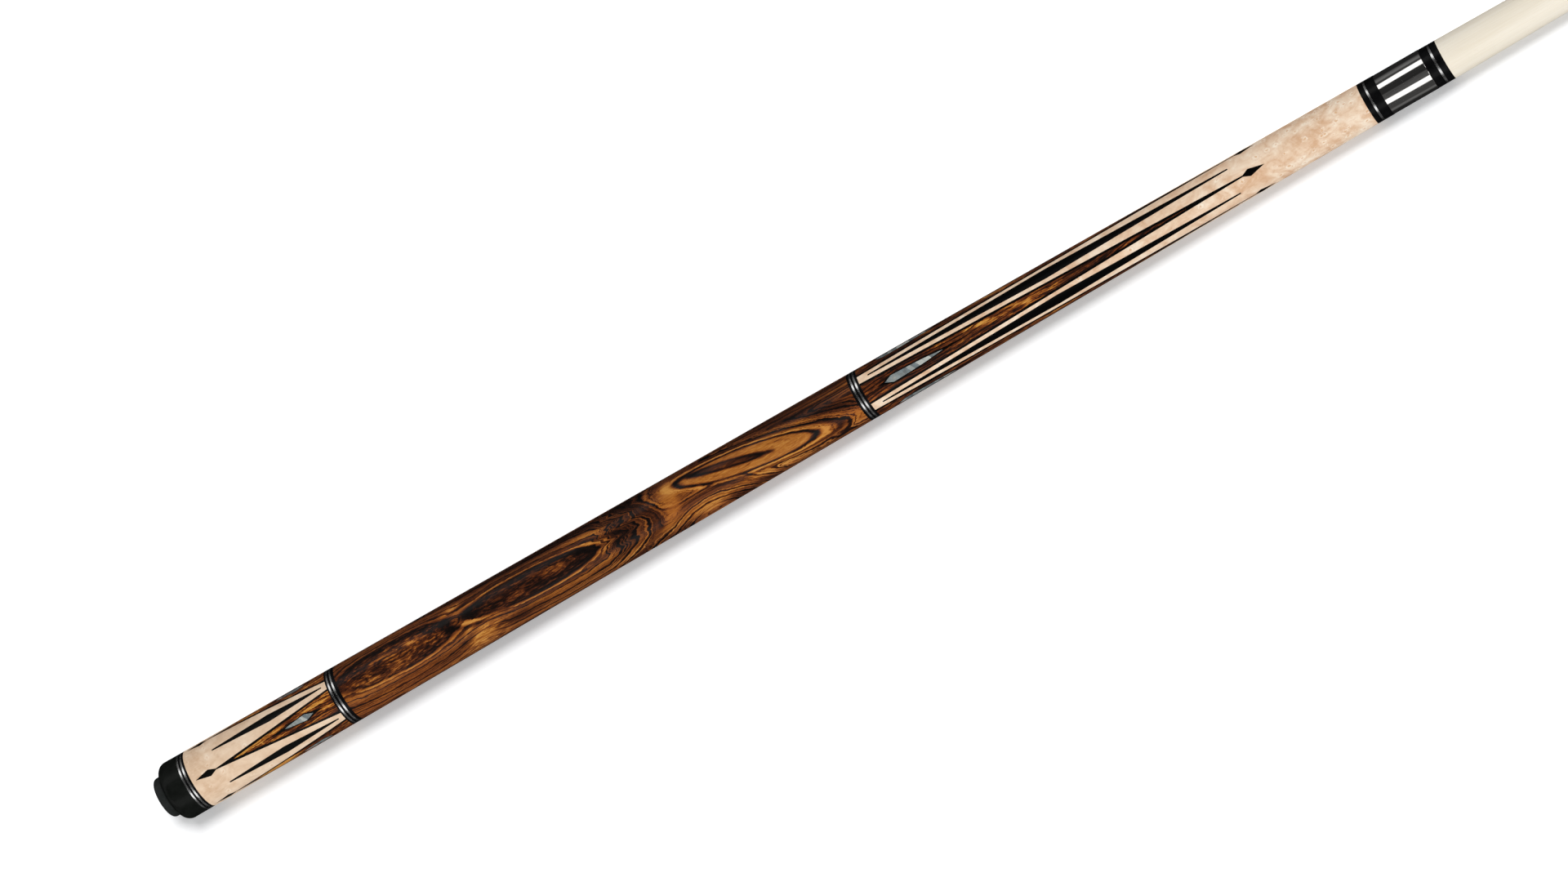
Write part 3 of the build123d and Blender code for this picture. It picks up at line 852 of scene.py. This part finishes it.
def dense_outline(outline, centre, sign):
    """Outline in short steps as (x, angle), its open ends closed onto the centre line."""
    points = []
    for (xa, wa), (xb, wb) in zip(outline[:-1], outline[1:]):
        steps = max(1, int(math.ceil(abs(xb - xa) / OUTLINE_STEP)))
        for i in range(steps):
            t = i / steps
            points.append((xa + (xb - xa) * t, wa + (wb - wa) * t))
    points.append(outline[-1])
    out = []
    for x, width in points:
        turn = math.degrees(math.asin(min(1.0, width / float(butt_radius(x)))))
        out.append((x, centre + sign * turn))
    if outline[0][1] > 0:
        out = [(outline[0][0], centre)] + out
    if outline[-1][1] > 0:
        out = out + [(outline[-1][0], centre)]
    return out


def half_pitch_mesh(x0, x1, outlines):
    """Triangles of half a pitch, cut along the outlines: stations, angles, triangles."""
    mid_radius = float(butt_radius(0.5 * (x0 + x1)))
    points, edges = [], []

    def flat(x, angle):
        return (x, math.radians(angle) * mid_radius)

    def chain(sequence):
        first = len(points)
        points.extend(flat(x, angle) for x, angle in sequence)
        edges.extend((i, i + 1) for i in range(first, len(points) - 1))

    # stations that must stay on the two long sides, by the side's angle
    fixed = {0.0: {x0, x1}, HALF_PITCH: {x0, x1}}
    for key, outline in outlines.items():
        sign, centre = (-1, HALF_PITCH) if key == "needle" else (1, 0.0)
        sequence = dense_outline(outline, centre, sign)
        fixed[centre] |= {sequence[0][0], sequence[-1][0]}
        chain(sequence)
    grid = np.arange(x0, x1, GRID_STEP)
    for angle, kept in fixed.items():
        chain([
            (x, angle) for x in sorted(kept | set(grid))
            if x in kept or all(abs(x - other) > 0.7 for other in kept)
        ])
    for x in (x0, x1):
        chain([(x, angle) for angle in np.linspace(0, HALF_PITCH, 13)])
    # staggered points in the open areas, clear of every line
    lines = np.array(points)
    for i, x in enumerate(grid[1:]):
        for angle in np.arange(1.5 + (i % 2) * 1.5, HALF_PITCH - 0.9, 3.0):
            place = np.array(flat(x, angle))
            if np.min(np.hypot(*(lines - place).T)) > 0.55:
                points.append(tuple(place))
    cut = delaunay_2d_cdt([Vector(p) for p in points], edges, [], 0, 1e-5)
    verts = np.array([tuple(v) for v in cut[0]])
    tris = np.array([tuple(f) for f in cut[2] if len(f) == 3])
    return verts[:, 0], np.degrees(verts[:, 1] / mid_radius), tris


def inlay_kinds(x, angle, outlines):
    """Which inlay each triangle centre lies in."""
    radius = butt_radius(x)
    from_point = radius * np.sin(np.radians(angle))
    from_needle = radius * np.sin(np.radians(HALF_PITCH - angle))
    kinds = np.full(len(x), "base", object)
    kinds[from_point < half_width(outlines["point"], x)] = "veneer"
    kinds[from_point < half_width(outlines["wood"], x)] = "wood"
    in_border = (from_point < half_width(outlines["border"], x)) & (kinds == "wood")
    kinds[in_border] = "border"
    kinds[(from_point < half_width(outlines["pearl"], x)) & in_border] = "pearl"
    kinds[from_point < half_width(outlines["diamond"], x)] = "diamond"
    kinds[from_needle < half_width(outlines["needle"], x)] = "needle"
    return kinds


def full_turn(half_x, half_angle, half_tris, half_kinds):
    """Ten mirrored copies of the half pitch, welded into a full turn."""
    xs, angles, tris, kinds, index_of = [], [], [], [], {}
    for sector in range(N_POINTS):
        for sign in (1, -1):
            ids = []
            for x, angle in zip(half_x, half_angle):
                turned = (sector * PITCH + sign * angle) % 360.0
                key = (round(x, 3), round(turned, 3) % 360.0)
                if key not in index_of:
                    index_of[key] = len(xs)
                    xs.append(x)
                    angles.append(turned)
                ids.append(index_of[key])
            copy = np.array(ids)[half_tris]
            tris.append(copy if sign == 1 else copy[:, ::-1])
            kinds.append(half_kinds)
    tris, kinds = np.vstack(tris), np.concatenate(kinds)
    a, b, c = tris.T
    whole = (a != b) & (b != c) & (c != a)
    return np.array(xs), np.array(angles), tris[whole], kinds[whole]


def edge_map(tris):
    """Directed edge to the number of its triangle."""
    edges = {}
    for i, (a, b, c) in enumerate(tris.tolist()):
        for edge in ((a, b), (b, c), (c, a)):
            edges[edge] = i
    return edges


def on_layer(layer, tris):
    return [tuple((layer, v) for v in tri) for tri in tris.tolist()]


def wall(upper, lower, p, q):
    return ((upper, q), (upper, p), (lower, p), (lower, q))


def inlay_faces(tris):
    edges = edge_map(tris)
    faces = on_layer(TOP, tris) + on_layer(FLOOR, tris[:, ::-1])
    return faces + [wall(TOP, FLOOR, p, q) for p, q in edges if (q, p) not in edges]


def base_faces(tris, is_base):
    """The wood that is left: pockets under the inlays, ends and bore."""
    edges = edge_map(tris)
    faces = on_layer(TOP, tris[is_base]) + on_layer(FLOOR, tris[~is_base])
    faces += on_layer(BORE, tris[:, ::-1])
    for (p, q), i in edges.items():
        j = edges.get((q, p))
        if is_base[i] and (j is None or not is_base[j]):
            faces.append(wall(TOP, FLOOR, p, q))
        if j is None:
            faces.append(wall(FLOOR, BORE, p, q))
    return faces


def layered_object(name, layers, faces, top_count, top_normals):
    """Solid from faces of (layer, vertex); the first top_count faces take the taper's normals.
    Also returns the source vertex of each of its vertices."""
    used, verts, polygons = {}, [], []
    for face in faces:
        for layer, v in face:
            if (layer, v) not in used:
                used[(layer, v)] = len(verts)
                verts.append(layers[layer][v])
        polygons.append(tuple(used[corner] for corner in face))
    ob = new_object(name, verts, polygons)
    mesh = ob.data
    smooth = [i < top_count for i in range(len(mesh.polygons))]
    mesh.polygons.foreach_set("use_smooth", smooth)
    source = np.array([v for _, v in used])
    normals = np.zeros((len(mesh.loops), 3))
    for poly in mesh.polygons:
        for i in poly.loop_indices:
            on_taper = poly.index < top_count
            normals[i] = top_normals[source[mesh.loops[i].vertex_index]] if on_taper else poly.normal
    mesh.normals_split_custom_set([tuple(n) for n in normals])
    return ob, source


def set_point_figure(ob, x, angle):
    sectors = np.round((angle % 360.0) / PITCH).astype(int) % N_POINTS
    fig, tone = np.zeros_like(x), np.zeros_like(x)
    for s in range(N_POINTS):
        k = sectors == s
        fig[k], tone[k] = point_figure(x[k], wrap(angle[k] - s * PITCH), s)
    set_attr(ob, "fig", fig)
    set_attr(ob, "tone", tone)
    set_attr(ob, "crisp", np.full_like(x, 0.78))
    set_attr(ob, "fleck", np.clip(0.25 + 0.9 * tone, 0.0, 1.0))


def inlaid(prefix, base_node, outlines, maple, black, eyes):
    """Cuts the taper of base_node into its inlays along shared edges, and makes each a closed
    solid flush with the rest."""
    bore_radius = inner_radius(base_node)
    half_x, half_angle, half_tris = half_pitch_mesh(*span(base_node), outlines)
    half_kinds = inlay_kinds(
        half_x[half_tris].mean(1), half_angle[half_tris].mean(1), outlines)
    xs, angles, tris, kinds = full_turn(half_x, half_angle, half_tris, half_kinds)

    turn = np.radians(angles)
    radii = butt_radius(xs)
    outward = np.stack([np.zeros_like(turn), -np.sin(turn), np.cos(turn)], 1)
    top_normals = outward.copy()
    top_normals[:, 0] = -TAPER
    top_normals /= np.linalg.norm(top_normals, axis=1)[:, None]

    def layer_at(radius):
        verts = outward * radius[:, None]
        verts[:, 0] = xs
        return verts

    layers = [layer_at(r) for r in (radii, radii - INLAY_DEPTH, np.full_like(radii, bore_radius))]
    # turn every triangle to face outwards
    a, b, c = (layers[TOP][tris[:, i]] for i in range(3))
    flip = (np.cross(b - a, c - a) * outward[tris[:, 0]]).sum(1) < 0
    tris[flip] = tris[flip][:, ::-1]

    # kind: frame node and material
    inlays = {
        "wood": (prefix + "_points", "points"), "veneer": (prefix + "_point_veneers", black),
        "diamond": (prefix + "_diamonds", black), "needle": (prefix + "_needles", black),
        "pearl": (prefix + "_pearls", "pearl"), "border": (prefix + "_pearl_borders", black),
    }
    made = []
    for kind, (node_name, mat) in inlays.items():
        own = tris[kinds == kind]
        ob, source = layered_object(
            node_name + "_inlaid", layers, inlay_faces(own), len(own), top_normals)
        if kind == "wood":
            set_point_figure(ob, xs[source], angles[source])
        made.append((ob, node_name, mat))
    is_base = kinds == "base"
    ob, source = layered_object(
        base_node + "_maple", layers, base_faces(tris, is_base), int(is_base.sum()), top_normals)
    set_attr(ob, "eyes", eyes(xs[source], wrap(angles[source])))
    made.append((ob, base_node, maple))
    for ob, node_name, mat in made:
        finish_piece(ob, node_name, MAT[mat])


def clear_of_seam(angle):
    """Fades the eyes out at 180 degrees, where the unrolled surface has its seam."""
    return np.clip((176.0 - np.abs(wrap(angle))) / 8.0, 0.0, 1.0)


def forearm_eyes(x, angle):
    share = 0.03 + 0.50 / (1.0 + np.exp(-(x - 651.0) / 4.0))
    share += 0.35 * bell(x - 627.0, 8.0) * (np.cos(np.radians(3 * angle)) > 0.2)
    share += 0.25 * bell(x - 687.0, 16.0) + 0.12 * bell(x - 548.0, 9.0)
    return np.clip(share, 0.0, 0.85) * clear_of_seam(angle)


def sleeve_eyes(x, angle):
    share = 0.05 + 0.55 * bell(x - 30.0, 7.0) * (0.6 + 0.4 * np.cos(np.radians(angle + 30)))
    return np.clip(share, 0.0, 0.85) * clear_of_seam(angle)


inlaid("forearm", "forearm", FOREARM, "forearm_maple", "deep_black_wood", forearm_eyes)
inlaid("sleeve", "butt_sleeve", SLEEVE, "sleeve_maple", "black_wood", sleeve_eyes)


# ------------------------------------------------------------------ handle and rings
def make_handle():
    step = 0.9
    bore = inner_radius("handle")
    # eased ends: distance from the end, drop below the taper
    ease = [(0.0, 0.06), (0.02, 0.02), (0.06, 0.0)]
    outside = [(HANDLE_START + inset, drop) for inset, drop in ease]
    outside += [(x, 0.0) for x in np.arange(HANDLE_START + step, HANDLE_END - 0.3, step)]
    outside += [(HANDLE_END - inset, drop) for inset, drop in reversed(ease)]
    profile = [(HANDLE_START, bore)]
    profile += [(x, float(butt_radius(x)) - drop) for x, drop in outside]
    profile.append((HANDLE_END, bore))
    verts, faces = lathe_data(profile, 168)
    ob = smooth_object("handle_wood", verts, faces)
    verts = np.array(verts)
    angle = np.degrees(np.arctan2(-verts[:, 1], verts[:, 2]))
    for key, field in zip(("fig", "tone", "crisp", "fleck"), handle_figure(verts[:, 0], angle)):
        set_attr(ob, key, field)
    finish_piece(ob, "handle", MAT["handle"])


def make_rings(ring_set, colour, mat, edge):
    """The bands of one colour in a ring set, as one object."""
    name = f"{ring_set}_{colour}"
    first_colour, stations = RING_SETS[ring_set]
    bands = list(zip(stations[:-1], stations[1:]))[0 if colour == first_colour else 1::2]
    bore = inner_radius(name)
    profiles = [
        eased_band(x0, radius_at(name, x0), x1, radius_at(name, x1), bore, edge)
        for x0, x1 in bands
    ]
    finish_piece(lathe(name + "_turned", profiles), name, MAT[mat])


make_handle()
for colour, mat, edge in (("silver", "silver", 0.10), ("black", "ring_black", 0.06)):
    for ring_set in RING_SETS:
        make_rings(ring_set, colour, mat, edge)


# ------------------------------------------------------------------ cap and bumper
CAP_START, CAP_END = span("butt_cap")


def make_cap():
    corner = 4.8  # radius of the rounded outer corner
    core_start = span("handle_core")[0]
    core_radius = radius_at("handle_core", core_start)
    bore = inner_radius("butt_cap")
    profile = [(CAP_START, bore + 0.25)]
    rounding_r = float(butt_radius(CAP_START)) - corner
    profile += arc(CAP_START + corner, rounding_r, corner, 180, 92, 14)
    profile += [
        (CAP_END - 0.06, float(butt_radius(CAP_END - 0.06))),
        (CAP_END, float(butt_radius(CAP_END)) - 0.06), (CAP_END, core_radius),
        (core_start, core_radius), (core_start, bore), (CAP_START + 0.25, bore),
    ]
    finish_piece(lathe("butt_cap_turned", [profile], 192), "butt_cap", MAT["cap"])


def make_bumper():
    """Rounded head outside the cap and a ribbed stem inside it."""
    end = span("bumper")[1]
    head = outer_radius("bumper")
    corner = 2.0
    stem = 6.42
    profile = [(0.55, 0.0), (0.55, 2.6), (0.35, 3.2), (0.08, 3.7), (0.0, 4.1)]
    profile += arc(corner, head - corner, corner, 180, 90, 8)
    profile += [
        (CAP_START - 0.25, head), (CAP_START - 0.05, head - 0.10), (CAP_START, head - 0.35),
        (CAP_START, stem), (CAP_START + 2.0, stem - 0.25), (CAP_START + 3.0, stem - 0.25),
    ]
    for k in range(3):
        x = CAP_START + 3.2 + 3.0 * k
        profile += [(x, stem), (x + 1.2, stem), (x + 2.2, stem - 0.45), (x + 2.7, stem - 0.45)]
    profile += [(end - 1.2, stem - 0.7), (end - 0.4, stem - 1.1), (end, stem - 1.8), (end, 0.0)]
    ob = lathe("bumper_moulded", [profile], 160, sharp_angle=40)
    finish_piece(ob, "bumper", MAT["rubber"])


make_cap()
make_bumper()

# ------------------------------------------------------------------ joint, shaft and tip
COLLAR_START, COLLAR_END = span("joint_collar")
FERRULE_START, FERRULE_END = span("ferrule")
FERRULE_RADIUS = outer_radius("ferrule")
TENON_RADIUS = 3.97  # shaft wood inside the ferrule
TENON_END = 1462.0


def make_collar():
    radius = outer_radius("joint_collar")
    bore = inner_radius("joint_collar")
    start, end = COLLAR_START, COLLAR_END
    profile = [
        (start, bore), (start, radius - 0.09), (start + 0.03, radius - 0.03),
        (start + 0.09, radius), (end - 0.36, radius), (end - 0.33, radius - 0.02),
        (end - 0.02, radius - 0.33), (end, radius - 0.36), (end, bore),
    ]
    finish_piece(lathe("joint_collar_steel", [profile], 200), "joint_collar", MAT["steel"])


def read_shaft_taper():
    """Stations and outside radii of the frame's shaft beyond the rings."""
    co = coords("shaft")
    outer = co[np.hypot(co[:, 1], co[:, 2]) > 6.3]
    radii = np.hypot(outer[:, 1], outer[:, 2])
    stations = np.round(outer[:, 0], 3)
    xs = np.unique(stations[outer[:, 0] >= SHAFT_WOOD_START - 0.01])
    largest = np.array([radii[stations == x].max() for x in xs])
    outside = largest > 6.45
    return xs[outside], largest[outside]


SHAFT_STATIONS, SHAFT_RADII = read_shaft_taper()


def shaft_radius(x):
    return float(np.interp(x, SHAFT_STATIONS, SHAFT_RADII))


def make_shaft():
    start, end = SHAFT_WOOD_START, FERRULE_START
    ring_bore = inner_radius("shaft_ring_black")
    insert_start, insert_end = span("shaft_insert")
    insert_radius = radius_at("shaft_insert", insert_start)
    xs = [start + 0.06] + list(np.linspace(start + 2, end - 1.0, 150)) + [end - 0.04]
    profile = [
        (COLLAR_END, insert_radius), (COLLAR_END, ring_bore), (start, ring_bore),
        (start, shaft_radius(start) - 0.06),
    ]
    profile += [(x, shaft_radius(x)) for x in xs]
    profile += [
        (end, shaft_radius(end) - 0.04), (end, TENON_RADIUS), (TENON_END, TENON_RADIUS),
        (TENON_END, 0.0), (insert_end, 0.0), (insert_end, insert_radius),
    ]
    finish_piece(lathe("shaft_wood", [profile], 128), "shaft", MAT["shaft"])


def make_ferrule():
    start, end, radius = FERRULE_START, FERRULE_END, FERRULE_RADIUS
    profile = [
        (start, TENON_RADIUS), (start, radius - 0.04), (start + 0.04, radius),
        (end - 0.05, radius), (end, radius - 0.05), (end, 0.0),
        (TENON_END, 0.0), (TENON_END, TENON_RADIUS),
    ]
    finish_piece(lathe("ferrule_turned", [profile], 128), "ferrule", MAT["ferrule"])


def make_tip_pad():
    start, end = span("tip_pad")
    radius = FERRULE_RADIUS
    profile = [
        (start, 0.0), (start, radius - 0.03), (start + 0.03, radius),
        (end - 0.03, radius), (end, radius - 0.03), (end, 0.0),
    ]
    finish_piece(lathe("tip_pad_disc", [profile], 128), "tip_pad", MAT["pad"])


def make_tip():
    radius = FERRULE_RADIUS
    rise = TIP_END - TIP_SIDE
    dome = (radius**2 + rise**2) / (2 * rise)  # radius of the sphere
    profile = [
        (TIP_START, 0.0), (TIP_START, radius - 0.05), (TIP_START + 0.1, radius),
        (TIP_START + 1.4, radius), (TIP_SIDE - 0.25, radius - 0.03),
        (TIP_SIDE + 0.05, radius - 0.22),
    ]
    edge_angle = math.asin((radius - 0.35) / dome)
    for i in range(14):
        t = edge_angle * (1 - i / 14)
        profile.append((TIP_END - dome + dome * math.cos(t), dome * math.sin(t)))
    profile.append((TIP_END, 0.0))
    ob = lathe("tip_leather_dome", [profile], 128, sharp_angle=50)
    finish_piece(ob, "tip", MAT["leather"])


make_collar()
make_shaft()
make_ferrule()
make_tip_pad()
make_tip()

# ------------------------------------------------------------------ pieces kept from the frame
for node_name, mat in (
    ("handle_core", "core"), ("forearm_core", "core"), ("a_joint_stud", "bolt_steel"),
    ("weight_bolt", "bolt_steel"), ("joint_pin", "pin_steel"), ("shaft_insert", "brass"),
):
    kept = NODES[node_name]
    kept.data.materials.clear()
    kept.data.materials.append(MAT[mat])


# ------------------------------------------------------------------ floor
def make_floor():
    """Pale plane, tilted to touch the cue under the butt cap and at the end of the shaft wood."""
    half = 6.0  # metres
    cap_x = 14.0
    cap_radius = float(butt_radius(cap_x))
    slope = math.atan2(cap_radius - shaft_radius(FERRULE_START), FERRULE_START - cap_x)

    def height(x):
        return -(cap_radius + 0.02) * MM + math.tan(slope) * (x - cap_x * MM)

    corners = [(-half, -half), (half, -half), (half, half), (-half, half)]
    mesh = bpy.data.meshes.new("floor")
    mesh.from_pydata([(x, y, height(x)) for x, y in corners], [], [(0, 1, 2, 3)])
    ob = bpy.data.objects.new("floor", mesh)
    bpy.context.scene.collection.objects.link(ob)
    mat, bsdf = material("floor_pale")
    shade(bsdf, color=(0.892, 0.9, 0.910, 1.0), rough=0.9, spec=0.0,
          emission=(1.0, 1.0, 1.0, 1.0), emission_strength=0.21)
    mesh.materials.append(mat)
    ob.visible_glossy = False
    return ob


floor = make_floor()

# ------------------------------------------------------------------ world and lights
# Grey level that reflections see, by angle round X: two bright cards in dark surroundings
CARDS = [
    (-180, 0.012), (-112, 0.012), (-95, 0.10), (-86, 0.12), (-76, 0.03), (-68, 0.05),
    (-65, 1.0), (-43, 1.0), (-40, 0.02), (-5, 0.015), (0, 0.05), (24, 0.06), (29, 0.06),
    (32, 1.0), (57, 1.0), (60, 0.04), (95, 0.04), (104, 0.10), (112, 0.08), (124, 0.012),
    (180, 0.012),
]
CARD_STRENGTH = 1.7
AMBIENT_STRENGTH = 0.45


def make_world():
    """Cards for glossy rays, even white for all others."""
    global tree
    world = bpy.data.worlds.new("studio")
    bpy.context.scene.world = world
    world.use_nodes = True
    tree = world.node_tree
    for old in list(tree.nodes):
        tree.nodes.remove(old)
    ray = split(node("ShaderNodeTexCoord").outputs["Generated"])
    angle = mul(calc("ARCTAN2", mul(ray[1], -1.0), ray[2]), 180.0 / math.pi)
    stops = [((a + 180.0) / 360.0, (grey, grey, grey, 1.0)) for a, grey in CARDS]
    cards = ramp(remap(angle, (-180, 180)), stops)
    light_path = node("ShaderNodeLightPath")
    glossy, ambient = node("ShaderNodeBackground"), node("ShaderNodeBackground")
    put(glossy.inputs[0], cards)
    put(glossy.inputs[1], CARD_STRENGTH)
    put(ambient.inputs[0], (1.0, 1.0, 1.0, 1.0))
    put(ambient.inputs[1], AMBIENT_STRENGTH)
    mixed = node("ShaderNodeMixShader")
    put(mixed.inputs[0], light_path.outputs["Is Glossy Ray"])
    put(mixed.inputs[1], ambient.outputs[0])
    put(mixed.inputs[2], glossy.outputs[0])
    put(node("ShaderNodeOutputWorld").inputs[0], mixed.outputs[0])


def sun(name, towards, radiance, width, receivers):
    """Soft distant light, width degrees across, that only the receivers take; all still block it."""
    light = bpy.data.lights.new(name, "SUN")
    direction = Vector(towards).normalized()
    light.energy = radiance * math.pi
    light.angle = math.radians(width)
    ob = bpy.data.objects.new(name, light)
    bpy.context.scene.collection.objects.link(ob)
    ob.matrix_world = direction.to_track_quat("Z", "Y").to_matrix().to_4x4()
    ob.location = direction * 2.0
    ob.visible_glossy = False
    group = bpy.data.collections.new(name + "_receivers")
    for receiver in receivers:
        group.objects.link(receiver)
    ob.light_linking.receiver_collection = group


make_world()
floor_lean, cue_lean = math.radians(25.0), math.radians(12)  # how far the lights lean from +Z
cue = [o for o in bpy.data.objects if o.type == "MESH" and o is not floor]
sun("floor_light", radiance=0.72, width=20.0, receivers=[floor], towards=(
    0.5 * math.sin(floor_lean), 0.866 * math.sin(floor_lean), math.cos(floor_lean)))
sun("cue_light", radiance=0.66, width=60.0, receivers=cue, towards=(
    0.0, -math.sin(cue_lean), math.cos(cue_lean)))

scene = bpy.context.scene
scene.view_settings.view_transform = "Standard"
scene.view_settings.look = "None"
scene.view_settings.exposure = 0.0


# ------------------------------------------------------------------ camera
def make_camera():
    """Looks down at the butt, rolled so that the cue crosses the view at a slant."""
    place = Vector((0.974, 0.0, 3.045))  # metres
    target = Vector((0.372, 0.0, 0.0))
    roll = math.radians(30.0)
    data = bpy.data.cameras.new("camera")
    ob = bpy.data.objects.new("camera", data)
    scene.collection.objects.link(ob)
    back = (place - target).normalized()
    cue_axis = Vector((1, 0, 0))
    along = (cue_axis - back * cue_axis.dot(back)).normalized()
    across = back.cross(along)
    right = along * math.cos(roll) - across * math.sin(roll)
    up = back.cross(right)
    rows = [(right[i], up[i], back[i], place[i]) for i in range(3)]
    ob.matrix_world = Matrix((*rows, (0, 0, 0, 1)))
    data.sensor_width = 36.0
    data.lens = 143.0
    data.clip_end = 100.0
    scene.camera = ob


make_camera()
